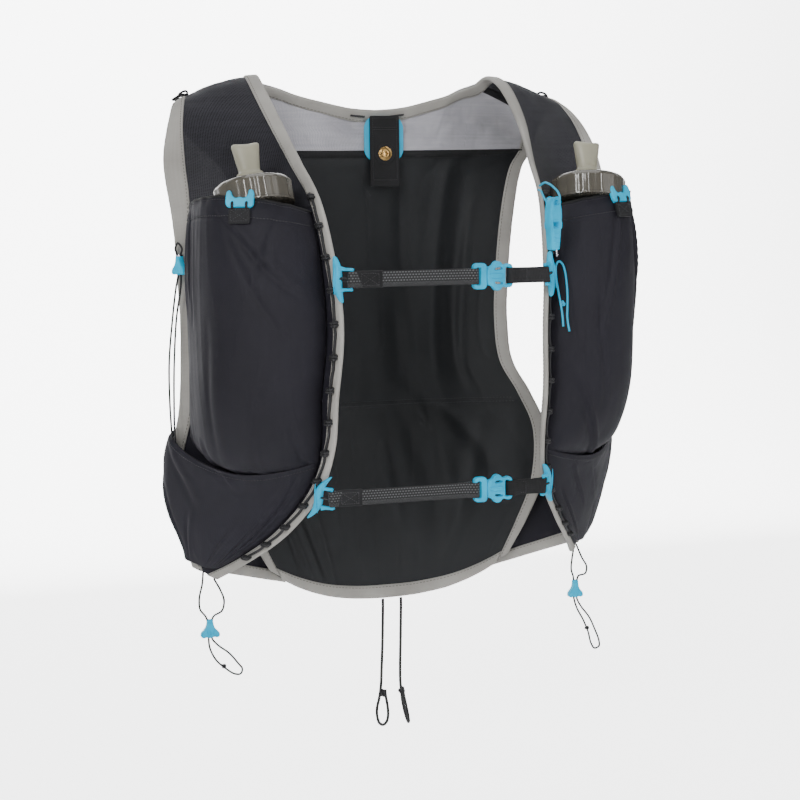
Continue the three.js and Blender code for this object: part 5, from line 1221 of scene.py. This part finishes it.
def add_clips():
    for name, side in SIDES:
        for level in LEVELS:
            origin, x, y, out, lean = clip_frame(side, level)
            rings = []
            for s in np.linspace(-1, 1, 33):
                full = max(1 - abs(s) ** 2.3, 0.0)
                half_x, half_z = 1.0 + 3.0 * full ** 0.8, 1.3 + 1.6 * full ** 0.5
                if abs(s) > 0.999:
                    half_x, half_z = 0.6, 0.6
                yy = s * CLIP_HALF
                shift = yy * math.tan(lean) * abs(s) - 0.8 * (1 - s * s)
                rings.append([(shift + half_x * math.cos(q), yy, half_z * math.sin(q) - 0.6)
                              for q in round_angles(24)])
            parts = [loft(in_frame(np.array(rings), origin, x, y, out))]
            for sign in (1, -1):
                cy = sign * (PIN_SPAN / 2 - 1.2)
                bar = rounded_bar([(1.5, 1.9, 1.7, cy * 1.08, -0.5), (6, 1.25, 1.4, cy * 1.02, -0.3),
                                   (10, 1.15, 1.6, cy, 0), (12.6, 1.2, 1.8, cy, 0), (13.8, 0.8, 1.1, cy, 0)])
                parts.append(loft(in_frame(bar, origin, x, y, out)))
            pin = in_frame([(CLIP_REACH, -PIN_SPAN / 2 + 1, 0), (CLIP_REACH, PIN_SPAN / 2 - 1, 0)],
                           origin, x, y, out)
            parts.append(tube(pin, 1.2, 12, 1.0))
            groove = in_frame([(-1.0, -12, 2.4), (-1.6, -6, 2.75), (-1.7, 0, 2.8), (-1.6, 6, 2.75),
                               (-1.0, 12, 2.4)],
                              origin, x, y, out)
            parts.append(tube(groove, lambda s: 0.25 + 0.45 * arch(s), 8, 0.8))
            clip = f"rail_clip_{level}_{name}"
            piece(clip + "_moulded", join(parts), "cyan", clip, clip, 50)
            ring = [(6.2 + 3.6 * math.cos(q), 2.2 * math.sin(q) * 0.5, 0.2 + 2.4 * math.sin(q))
                    for q in np.linspace(0, 2 * np.pi, 40)]
            loop = in_frame(ring, origin, x, y, out)
            piece(clip + "_loop", tube(loop, 0.8, 8, 0.5), "cord", clip)


def ribbon(name, plan, start, finish_at, up_a, up_b, material, node, half=WEB / 2, wall=0.6):
    # plan: places along the line from start to finish_at in millimetres, and how far in front of it
    start, finish_at = np.asarray(start), np.asarray(finish_at)
    line = finish_at - start
    length = np.linalg.norm(line)
    e = line / length
    path = catmull(np.array([(s, h, 0.0) for s, h in plan]), np.linspace(0, 1, 700))
    path = resample(path, 0.8)
    share = np.clip(path[:, 0:1] / length, 0, 1)
    up = up_a + (up_b - up_a) * share
    front = unit(np.cross(np.broadcast_to(e, up.shape), up))
    front = front * np.where(front[:, 1:2] > 0, -1, 1)
    centres = start + path[:, 0:1] * e + path[:, 1:2] * front
    tangent = unit(np.gradient(centres, axis=0))
    side = unit(np.cross(up, tangent))
    w = wall
    prof = [(-w, -half + 0.5), (-w * 0.5, -half), (w * 0.5, -half), (w, -half + 0.5), (w, -half / 2), (w, 0),
            (w, half / 2), (w, half - 0.5), (w * 0.5, half), (-w * 0.5, half), (-w, half - 0.5),
            (-w, half / 2), (-w, 0), (-w, -half / 2)]
    data = sweep(centres, side, up, prof)
    return piece(name, data, material, node, node if name.endswith("_run") else ())


def box_stitch(origin, x, y, z, width, height, cross=True):
    w, h = width / 2, height / 2
    loops = [[(-w, -h, 0), (w, -h, 0), (w, h, 0), (-w, h, 0), (-w, -h, 0)]]
    if cross:
        loops += [[(-w, -h, 0), (w, h, 0)], [(-w, h, 0), (w, -h, 0)]]
    rows = []
    for loop in loops:
        path = resample(in_frame(loop, origin, x, y, z), 0.5)
        rows.append(stitch_row(path, np.broadcast_to(z, path.shape), 1.9, 1.4, 0.24))
    return join(rows)


X, Z, FRONT = np.array([1.0, 0, 0]), np.array([0, 0, 1.0]), np.array([0, -1.0, 0])
BUCKLE_FRAME, BUCKLE_BODY, BUCKLE_TALL, BUCKLE_THICK = 11.0, 22.0, 11.5, 6.0


def add_straps():
    for level, (_, buckle_x) in LEVELS.items():
        ends = {}
        for side in (1, -1):
            origin, x, y, _, _ = clip_frame(side, level)
            ends[side] = (origin + x * CLIP_REACH, y / y[2])
        right, left = ends[-1], ends[1]
        share = (buckle_x - right[0][0]) / (left[0][0] - right[0][0])
        middle = right[0] + (left[0] - right[0]) * share
        total = BUCKLE_FRAME + GAP + BUCKLE_BODY
        start = middle[0] - total / 2
        frame_bar = np.array([start + 1.2, middle[1], middle[2]])
        body_bar = np.array([start + total - 1.2, middle[1], middle[2]])
        length = np.linalg.norm(frame_bar - right[0])
        turn = lambda s, r: [(s, -r), (s - r * 0.75, -r * 0.75), (s - r, 0), (s - r * 0.75, r * 0.75), (s, r)]
        fold = [(24, -0.75), (16, -0.7), (9, -0.8), (4, -1.5)]
        head = [(4, 1.5), (9, 0.7), (16, 0.6), (24, 0.6)]
        tail = [(length - 10, 0.6), (length - 6, 1.4), (length - 2, 3.6), (length + 1.4, 3.4),
                (length + 3.2, 0.6), (length + 1.6, -2.4), (length - 3, -3.3), (length - 8, -1.2),
                (length - 14, -0.75)]
        plan = fold + turn(0, 2.3) + head + [(q, 0.6) for q in np.linspace(34, length - 20, 5)] + tail
        ribbon(f"chest_strap_{level}_run", plan, right[0], frame_bar, right[1], Z, "ladder",
               f"chest_strap_{level}")
        short = np.linalg.norm(left[0] - body_bar)
        plan = ([(14, -0.75), (9, -0.8), (5, -1.8), (1, -3.4), (-1.8, -3.0), (-3.2, -0.4), (-1.8, 2.8),
                 (1.5, 3.4), (5, 1.8), (9, 0.7), (14, 0.6)] + [(short / 2, 0.6)]
                + [(short - 7, 0.7), (short - 3, 1.6), (short, 2.3), (short + 1.7, 1.7), (short + 2.3, 0),
                   (short + 1.7, -1.7), (short, -2.3), (short - 3, -1.6), (short - 8, -0.75)])
        ribbon(f"short_strap_{level}_run", plan, body_bar, left[0], Z, left[1], "tape",
               f"short_strap_{level}")
        # sewn end, with a black sleeve, box stitch and keeper
        e = unit(frame_bar - right[0])
        front = unit(np.cross(Z, e))
        front = front if front[1] < 0 else -front
        up = unit(np.cross(front, e))
        up = up if up[2] > 0 else -up
        sleeve_at = right[0] + e * 14.5
        ends_of_sleeve = ((-10.2, 0.9), (-9.8, 1.7), (9.8, 1.7), (10.2, 0.9))
        ring = rounded_bar([(x, 6.7, h, 0, 0) for x, h in ends_of_sleeve])
        piece(f"strap_sleeve_{level}", loft(in_frame(ring, sleeve_at, e, up, front)), "tape",
              f"chest_strap_{level}", (), 60)
        piece(f"strap_stitch_{level}", box_stitch(sleeve_at + front * 1.75, e, up, front, 14, 9),
              "black_thread", f"chest_strap_{level}")
        piece(f"short_stitch_{level}",
              box_stitch(body_bar + e * 10.5 + front * 1.2, e, up, front, 5, 9, False), "black_thread",
              f"short_strap_{level}")
        # frame and body of the buckle
        tall = BUCKLE_TALL
        frame_mesh = plate(rounded(BUCKLE_FRAME, 20.5, 3.2, steps=8), BUCKLE_THICK,
                           [rounded(3.6, 13.6, 1.2, -1.2, 0)], 0.9)
        centre = np.array([start + BUCKLE_FRAME / 2, middle[1], middle[2]])
        parts = [mesh_parts(frame_mesh, basis(centre, X, Z, FRONT))]
        piece(f"buckle_frame_{level}_moulded", join(parts), "cyan", f"buckle_frame_{level}",
              f"buckle_frame_{level}", 40)
        half = BUCKLE_BODY / 2
        outline = soften([
            (half, -tall * 0.72), (half, tall * 0.72), (half * 0.62, tall * 0.86), (half * 0.2, tall * 0.70),
            (0, tall), (-half * 0.42, tall * 1.02), (-half * 0.62, tall * 0.66), (-half, tall * 0.64),
            (-half, -tall * 0.64), (-half * 0.62, -tall * 0.66), (-half * 0.42, -tall * 1.02), (0, -tall),
            (half * 0.2, -tall * 0.70), (half * 0.62, -tall * 0.86)], 3)
        body_mesh = plate(outline, BUCKLE_THICK, [rounded(3.4, 13.6, 1.2, half - 5.0, 0),
                                       soften([(-half * 0.5, 4.4), (1.2, 4.8), (2.6, 6.4),
                                               (-half * 0.3, 6.9)]),
                                       soften([(-half * 0.5, -4.4), (1.2, -4.8), (2.6, -6.4),
                                               (-half * 0.3, -6.9)])],
                          0.9)
        centre = np.array([start + BUCKLE_FRAME + GAP + half, middle[1], middle[2]])
        parts = [mesh_parts(body_mesh, basis(centre, X, Z, FRONT))]
        rib = rounded_bar([(-9, 1.0, 0.3, 0, 3.0), (-8, 1.7, 0.9, 0, 3.2), (1, 1.9, 1.0, 0, 3.3),
                           (2.4, 1.2, 0.3, 0, 3.0)])
        parts.append(loft(in_frame(rib, centre, X, Z, FRONT)))
        piece(f"buckle_body_{level}_moulded", join(parts), "cyan", f"buckle_body_{level}",
              f"buckle_body_{level}", 40)


# Flask, cap and valve in each bottle pocket
FLASK_ROWS = np.array([[0.000, 0.70, 0.78], [0.045, 0.92, 0.92], [0.130, 1.00, 1.00], [0.550, 1.00, 1.00],
                       [0.820, 0.96, 0.92], [0.940, 0.80, 0.66], [1.000, 0.52, 0.36]])
FLASK_TOP, FLASK_BOTTOM, FLASK_ACROSS = 0.560, 0.305, 0.36


def flask_middle(side, down):
    along = FLASK_TOP + (FLASK_BOTTOM - FLASK_TOP) * down
    lift = FLASK_LIFT + (CAP_LIFT - FLASK_LIFT) * max(1 - 4 * down, 0)
    return chord(side, FLASK_ACROSS, along, lift)


def flask_frame(side, down):
    y = unit(flask_middle(side, down - 0.08) - flask_middle(side, down + 0.08))
    z = strip_out(side, np.array(FLASK_TOP + (FLASK_BOTTOM - FLASK_TOP) * down))
    z = unit(z - y * (y @ z))
    return flask_middle(side, down), np.cross(y, z), y, z


def lathe(profile, origin, x, y, z, sides=96, flute=None):
    rings = []
    for r, h in profile:
        q = round_angles(sides)
        rr = r * (1 + (flute(q, h) if flute is not None else 0))
        rings.append(np.stack([rr * np.cos(q), np.full(sides, h), rr * np.sin(q)], -1))
    return loft(in_frame(np.array(rings), origin, x, y, z))


def add_flasks():
    for name, side in SIDES:
        rings = []
        for row in FLASK_ROWS:
            point, x, y, z = flask_frame(side, row[0])
            q = round_angles(48)
            wide = np.cos(q) * row[1] * FLASK_WIDTH / 2 * FLASK_PLAY
            deep = np.sin(q) * row[2] * FLASK_DEPTH / 2 * FLASK_PLAY
            rings.append(point + np.outer(wide, x) + np.outer(deep, z))
        rings = np.array(rings)
        dense = col(rings.reshape(len(rings), -1), np.linspace(0, 1, 40)).reshape(40, 48, 3)
        piece(f"flask_film_{name}", loft(dense), "flask", f"flask_{name}", f"flask_{name}")
        point, x, y, z = flask_frame(side, 0.0)
        base = point + y * GAP
        wave = lambda q, h: 0.016 * (np.abs(np.cos(q * 8)) - 0.8) * (1.0 < h < 17.5)
        outer = [(28.6, 0), (31.0, 0.3), (31.5, 1.1), (31.5, 1.8), (30.9, 2.2), (31.2, 3.2), (31.2, 15.6),
                 (31.4, 16.4), (31.0, 17.4), (29.6, 19.4), (27.0, 20.7), (20.0, 21.0), (13.5, 21.0),
                 (12.6, 21.3), (12.4, 20.2), (13.0, 19.0), (24.0, 18.6), (27.6, 17.4), (28.9, 15.4),
                 (28.9, 2.0), (28.6, 1.0)]
        piece(f"cap_moulded_{name}", lathe(outer, base, x, y, z, 176, wave), "smoke", f"flask_cap_{name}",
              f"flask_cap_{name}", 35)
        insert = [(0.5, 0.6), (24.0, 0.6), (25.6, 1.2), (25.6, 3.0), (24.8, 3.6), (25.6, 4.4), (25.6, 6.6),
                  (24.8, 7.2), (25.6, 8.0), (25.6, 10.2), (24.4, 11.0), (22.0, 14.5),
                  (12.0, 16.6), (0.5, 16.6)]
        piece(f"cap_thread_{name}", lathe(insert, base, x, y, z, 72), "ring", f"flask_cap_{name}", (),
              35)
        top = base + y * (21 + GAP)
        collar = [(0.4, 0.0), (12.6, 0.0), (13.0, 0.7), (13.0, 2.2), (12.4, 2.9), (11.0, 3.1), (0.4, 3.1)]
        piece(f"valve_ring_{name}", lathe(collar, top, x, y, z, 64), "ring", f"bite_valve_{name}", (),
              35)
        sections = [(0.3, 10.2, 10.2), (2.4, 10.6, 10.6), (5.4, 10.9, 10.6), (6.6, 10.4, 9.8),
                    (7.6, 8.8, 7.6), (9.4, 8.5, 7.1), (12, 8.8, 7.0), (17, 9.5, 6.9), (22, 10.2, 6.8),
                    (26.4, 10.9, 6.6), (28.6, 11.2, 6.1), (29.8, 10.9, 5.3), (30.6, 9.9, 4.1),
                    (30.9, 8.2, 2.6), (30.7, 5.0, 1.3), (30.3, 1.5, 0.4)]
        rings = []
        for h, w, d in sections:
            q = round_angles(48)
            cx = np.sign(np.cos(q)) * np.abs(np.cos(q)) ** 0.86
            cz = np.sign(np.sin(q)) * np.abs(np.sin(q)) ** 0.86
            dip = 0.7 * np.cos(2 * q) * smooth(h, 20, 30)
            rings.append(np.stack([w * cx, h + dip, d * cz], -1))
        x = unit(X - y * y[0])
        z = np.cross(x, y)
        piece(f"valve_soft_{name}", loft(in_frame(np.array(rings), top, x, y, z)), "valve",
              f"bite_valve_{name}", f"bite_valve_{name}")


# Hook and tab at the mouth of each bottle pocket
HOOK_AT, HOOK_DOWN, HOOK_HALF, HOOK_HEIGHT = 0.30, 0.05, 11.0, 14.0


def surface_frame(point, out):
    z = unit(np.asarray(out, float))
    y = unit(np.array([0, 0, 1.0]) - z * z[2])
    return point, np.cross(y, z), y, z


def add_pocket_hooks():
    for name, side in SIDES:
        e = 0.004
        f = lambda u, v: pocket(side, BOTTLE, BOTTLE_DEPTH, np.array(u), np.array(v))
        at, down = HOOK_AT, HOOK_DOWN
        n = unit(np.cross(f(at + e, down) - f(at - e, down), f(at, down + e) - f(at, down - e)))
        if n @ strip_out(side, STRAP_FROM) < 0:
            n = -n
        point, x, y, z = surface_frame(f(at, down), n)
        point = point + z * (POCKET_WALL / 2 + GAP + PLATE / 2 + HOOK_ROOM)
        w, h = HOOK_HALF, HOOK_HEIGHT
        bar = [(-w, h * 0.10), (-w * 0.7, -0.6), (0, 0.6), (w * 0.7, -0.6), (w, h * 0.10), (w, h * 0.42),
               (w * 1.02, h * 0.75), (w * 0.92, h), (w * 0.62, h * 1.02), (w * 0.56, h * 0.66),
               (w * 0.3, h * 0.50), (0, h * 0.60), (-w * 0.3, h * 0.50), (-w * 0.56, h * 0.66),
               (-w * 0.66, h * 0.98), (-w * 0.95, h * 0.92), (-w * 1.02, h * 0.5)]
        hook = plate(soften(bar, 3), 3.6, (), 1.1)
        parts = [mesh_parts(hook, basis(point + z * 0.4, x, y, z))]
        pin = in_frame([(-w * 0.7, 0.8, -1.4), (w * 0.7, 0.8, -1.4)], point, x, y, z)
        parts.append(tube(pin, 1.3, 10, 0.8))
        piece(f"pocket_hook_{name}_moulded", join(parts), "cyan", f"pocket_hook_{name}",
              f"pocket_hook_{name}", 45)
        tab = plate(rounded(16.5, 12.4, 1.0), 2.4, (), 0.5)
        parts = [mesh_parts(tab, basis(point - y * 6.6, x, y, z))]
        for q in (-0.4, 0.4):
            wrap = [(q * 14, -0.6, 1.4), (q * 14, 2.2, 2.6), (q * 14, 4.2, 0.6), (q * 14, 3.0, -2.0),
                    (q * 14, -0.6, -1.6)]
            curve = catmull(in_frame(wrap, point, x, y, z), np.linspace(0, 1, 60))
            parts.append(tube(curve, 1.1, 8, 0.6))
        piece(f"mouth_tab_{name}_sewn", join(parts), "tape", f"mouth_tab_{name}", f"mouth_tab_{name}",
              45)
        piece(f"mouth_stitch_{name}", box_stitch(point - y * 6.6 + z * 1.3, x, y, z, 13, 9), "black_thread",
              f"mouth_tab_{name}")


# Locks, whistle, slider and their cords
def lock_outline(w, h):
    right = [(0.0, 0.5), (0.32, 0.5), (0.38, 0.22), (0.60, 0.02), (0.98, -0.16), (1.0, -0.40), (0.66, -0.46),
             (0.38, -0.40), (0.0, -0.48)]
    pts = [(x * w / 2, y * h) for x, y in right] + [(-x * w / 2, y * h) for x, y in right[::-1][1:-1]]
    return soften(pts, 3)


def add_cords():
    for name, place, turn, width, height in (("corner_lock_right", (-168, 13, -462), 0.0, 16.5, 15.0),
                                              ("corner_lock_left", (170, 13, -454), 0.0, 14.0, 15.0),
                                              ("side_lock", (-191.1, -17.6, -149),
                                               2.27 - math.pi, 13.0, 15.5)):
        x = np.array([math.cos(turn), math.sin(turn), 0])
        front = np.cross(x, Z)
        if front[1] > 0:
            x, front = -x, -front
        mesh = plate(lock_outline(width, height), 7.0, (), 1.6)
        parts = [mesh_parts(mesh, basis(np.array(place, float), x, Z, front))]
        button = rounded_bar([(-0.3, 2.2, 1.9, 0, 0), (0.6, 2.7, 2.4, 0, 0), (2.4, 2.7, 2.4, 0, 0),
                              (3.0, 2.0, 1.6, 0, 0)])
        parts.append(loft(in_frame(button, np.array(place, float) + Z * (height / 2 - 1.5), Z, x, front)))
        for s in (-0.35, 0.0, 0.35):
            rib = in_frame([(s * width * 0.5, -height * 0.30, 3.5), (s * width * 0.4, height * 0.05, 3.5)],
                           np.array(place, float), x, Z, front)
            parts.append(tube(rib, lambda q: 0.2 + 0.35 * arch(q), 8, 0.6))
        piece(name + "_moulded", join(parts), "cyan", name, name, 45)
    down = np.array([0.0, 0, -1.0])
    add_cord("hem_cord_right", "cord", [((-6.4, 41, -542), down, 0.2)])
    add_cord("hem_cord_left", "cord", [((11.6, 41, -541), down, 1.2)])
    add_cord("corner_cord_right", "cord", [((-157, 13, -495), (0.8, 0, -0.6), 0.4)])
    add_cord("corner_cord_left", "cord", [((181.5, 13, -490.5), (0.4, 0, -0.9), 0.9)])
    add_cord("side_cord", "cord", [((-196.4, 1.4, -300), (0.0, 0.2, -1), 0.3)])
    ring = lathe([(2.0, -0.7), (2.9, -0.7), (3.2, 0), (2.9, 0.7), (2.0, 0.7), (1.8, 0)],
                 np.array([-190.9, -17.6, -140.2]), X, Z, FRONT, 32)
    piece("side_lock_ring", ring, "silver", "side_lock", (), 40)

    top = np.array([88.5, -136, -96.5])
    _, x, y, z = surface_frame(top, (0.3, -0.954, 0))
    w, l = 6.6, 42.0
    outline = soften([(-w * 0.50, -l), (w * 0.50, -l), (w * 0.62, -l * 0.97), (w * 0.80, -l * 0.62),
                      (w, -l * 0.34), (w * 0.84, -l * 0.14), (w * 0.42, 0.0), (-w * 0.42, 0.0),
                      (-w * 0.84, -l * 0.14), (-w, -l * 0.34), (-w * 0.80, -l * 0.62),
                      (-w * 0.62, -l * 0.97)], 2)
    body = plate(outline, 9, [rounded(4.2, 4.2, 2.0, 0, -3.8), rounded(6.4, 4.4, 1.2, 0, -l * 0.52)], 2.2)
    parts = [mesh_parts(body, basis(top, x, y, z))]
    for h in (-l * 0.68, -l * 0.76, -l * 0.84):
        line = in_frame([(-3.4, h, 4.4), (0, h - 0.4, 4.6), (3.4, h, 4.4)], top, x, y, z)
        parts.append(tube(line, lambda q: 0.2 + 0.4 * arch(q), 8, 0.6))
    whistle = piece("whistle_moulded", join(parts), "cyan", "whistle", "whistle", 45)
    add_cord("whistle_cord", "cyan_cord", [])

    p, a, n = [q[0] for q in strip_stations(1, 0, np.array([0.522]))]
    spot = p + a * 6 + n * 9
    _, x, y, z = surface_frame(spot, n)
    mesh = plate(rounded(5.6, 12, 2.4, steps=8), 2.0, [rounded(3.0, 3.4, 1.2, 0, -2.4)], 0.7)
    piece("zip_slider_plated", join([mesh_parts(mesh, basis(spot, x, y, z))]), "silver", "zip_slider",
          "zip_slider", 40)
    add_cord("pull_cord", "cyan_cord", [((100, -127.6, -182), (0.1, 0, -1), 0.6)])


def add_zip():
    t = lines(0.515, 0.285, 160)
    inset = (BINDING + 3.4) / strip_width(t)
    path = strip(1, inset, t, 2.0)
    normal = strip_out(1, t)
    run = unit(np.gradient(path, axis=0))
    wide = unit(np.cross(run, normal))
    tape = sweep(path - normal * 0.6, wide, normal,
                 [(-4.4, 0), (-4.2, 0.35), (4.2, 0.35), (4.4, 0), (4.2, -0.35),
                                                     (-4.2, -0.35)])
    teeth = stitch_row(path + normal * 0.3, normal, 1.7, 3.6, 0.6, True)
    piece("zip_tape", tape, "tape", "front_panel_left")
    piece("zip_teeth", teeth, "zip", "front_panel_left")


def add_tabs():
    origin = yoke(np.array([6 / HALF]), np.array([0.0]))[0] - Z * (31 + 4)
    x, y, z = X, Z, FRONT
    lift = BIND_FACE + GAP + PLATE / 2 - NECK_PULL
    ring = plate(rounded(36, 40, 11, steps=8), 1.6, [rounded(25, 29, 7.5, 0, 1, steps=8)], 0.6)
    piece("neck_hanger_sewn", join([mesh_parts(ring, basis(origin + y * 11 + z * lift, x, y, z))]),
          "cyan_cord", "neck_hanger", "neck_hanger", 45)
    tab = plate(rounded(27, 62, 1.5), 2.2, (), 0.6)
    at = origin + z * (lift + 2.3)
    piece("neck_tab_sewn", join([mesh_parts(tab, basis(at, x, y, z))]), "tape", "neck_tab", "neck_tab",
          45)
    piece("neck_tab_stitch", join([box_stitch(at + y * 25 + z * 1.2, x, y, z, 22, 8, False),
                                   box_stitch(at - y * 3 + z * 1.2, x, y, z, 22, 44, False)]),
          "black_thread", "neck_tab")
    seat = at + z * 1.0 - y * 2
    snap = lathe([(0.2, 0), (5.8, 0), (6.2, 0.35), (6.0, 0.9), (4.6, 1.1), (4.0, 1.5), (3.6, 2.3), (3.1, 2.7),
                  (2.0, 2.7), (1.5, 1.6), (0.2, 1.5)], seat, x, z, -y, 48)
    piece("neck_snap_pressed", snap, "brass", "neck_snap", "neck_snap", 35)
    washer = lathe([(6.3, -0.1), (9.4, -0.1), (9.6, 0.25), (9.2, 0.6), (6.5, 0.6)], seat, x, z, -y, 48)
    piece("neck_snap_washer", washer, "tape", "neck_snap", (), 35)
    for u in (-0.072, 0.089):
        p = yoke(np.array([u - 0.04, u + 0.04]), np.array([0.0, 0.0]))
        spot = p.mean(0)
        along = unit(p[1] - p[0])
        row = [(q, (0.9 if i % 2 else -0.9), 0) for i, q in enumerate(np.linspace(-6.5, 6.5, 30))]
        path = in_frame(row, spot + FRONT * 2.7 - Z * 5.0, along, Z, FRONT)
        piece(f"neck_bartack_{'a' if u < 0 else 'b'}", tube(path, 0.35, 6, 0.5), "black_thread",
              "neck_binding")
    for name, side in SIDES:
        along = 12.6 / 14
        at = 1 - BINDING * 0.4 / strip_width(along)
        point, x, y, z = surface_frame(strip(side, at, along), strip_out(side, along))
        spot = point + x * side * 2 + z * (BIND_FACE + GAP + 1.6)
        mesh = plate(rounded(12, 12, 1.5), 2.0, [rounded(6.5, 4.2, 1.6)], 0.6)
        parts = [mesh_parts(mesh, basis(spot, x, y, z))]
        arc = [(-4, 1, 0.6), (-4.4, 5, 1.6), (0, 7.6, 2.4), (4.4, 5, 1.6), (4, 1, 0.6)]
        parts.append(tube(catmull(in_frame(arc, spot, x, y, z), np.linspace(0, 1, 60)), 1.0, 8, 0.6))
        piece(f"shoulder_tab_{name}_sewn", join(parts), "tape", f"shoulder_tab_{name}",
              f"shoulder_tab_{name}", 45)


# Stage, lights and world, in metres: the paper lies on the floor, bends up and stands behind the vest
FLOOR, BEND, PAPER_FRONT, PAPER_TOP, PAPER_HALF = -0.625, 0.9, -3.0, 3.5, 4.0


def add_stage():
    turns = np.linspace(0.05, math.pi / 2, 24)
    line = [(PAPER_FRONT, FLOOR), (BEND, FLOOR)]
    line += [(BEND + BEND * math.sin(q), FLOOR + BEND * (1 - math.cos(q))) for q in turns]
    line += [(2 * BEND, PAPER_TOP)]
    verts = [(x, y, z) for x in (-PAPER_HALF, PAPER_HALF) for y, z in line]
    n = len(line)
    faces = np.array([[i, i + 1, n + i + 1, n + i] for i in range(n - 1)])
    obj = new_object("studio_sweep", np.array(verts), faces)
    m = Nodes("studio_paper")
    soft = m.noise(3.0, 2.0, m.place())
    seen = m.add("ShaderNodeLightPath").outputs["Is Camera Ray"]
    m.bsdf.inputs["Emission Color"].default_value = rgb(1.0, 1.0, 1.0)
    m.put(m.bsdf.inputs["Emission Strength"], m.times(seen, 3.4))
    m.set(Base_Color=m.mix(soft, rgb(0.90, 0.90, 0.905), rgb(0.93, 0.93, 0.93)), Roughness=0.9)
    obj.data.materials.append(m.mat)


def add_light(name, place, aim, width, height, power):
    data = bpy.data.lights.new(name, "AREA")
    data.shape = "RECTANGLE"
    data.size, data.size_y, data.energy = width, height, power
    obj = bpy.data.objects.new(name, data)
    bpy.context.scene.collection.objects.link(obj)
    obj.location = place
    obj.rotation_mode = "QUATERNION"
    obj.rotation_quaternion = (Vector(aim) - Vector(place)).to_track_quat("-Z", "Y")


def add_lights():
    world = bpy.data.worlds.new("world")
    bpy.context.scene.world = world
    world.use_nodes = True
    world.node_tree.nodes["Background"].inputs[0].default_value = rgb(0.95, 0.97, 1.0)
    world.node_tree.nodes["Background"].inputs[1].default_value = 0.26
    add_light("key", (-1.5, -1.9, 1.3), (0, 0, -0.25), 1.1, 1.1, 30)
    add_light("fill", (1.7, -1.5, 0.4), (0, 0, -0.25), 1.2, 1.8, 9)
    add_light("top", (0.1, 0.2, 1.9), (0, 0, -0.2), 1.6, 1.6, 16)
    add_light("strip_left", (-1.15, -1.25, 0.15), (-0.1, -0.1, -0.15), 0.09, 1.2, 7)
    add_light("strip_middle", (-0.35, -2.0, 0.25), (-0.1, -0.1, -0.15), 0.09, 1.2, 6)
    add_light("strip_right", (0.75, -1.7, 0.15), (0.1, -0.1, -0.15), 0.09, 1.2, 7)
    add_light("behind", (0.0, 1.1, 0.4), (0, 3.0, 0.0), 2.4, 1.8, 70)


add_cords()
add_cloth()
add_bindings()
add_lacing()
add_clips()
add_straps()
add_flasks()
add_pocket_hooks()
add_zip()
add_tabs()
add_stage()
add_lights()
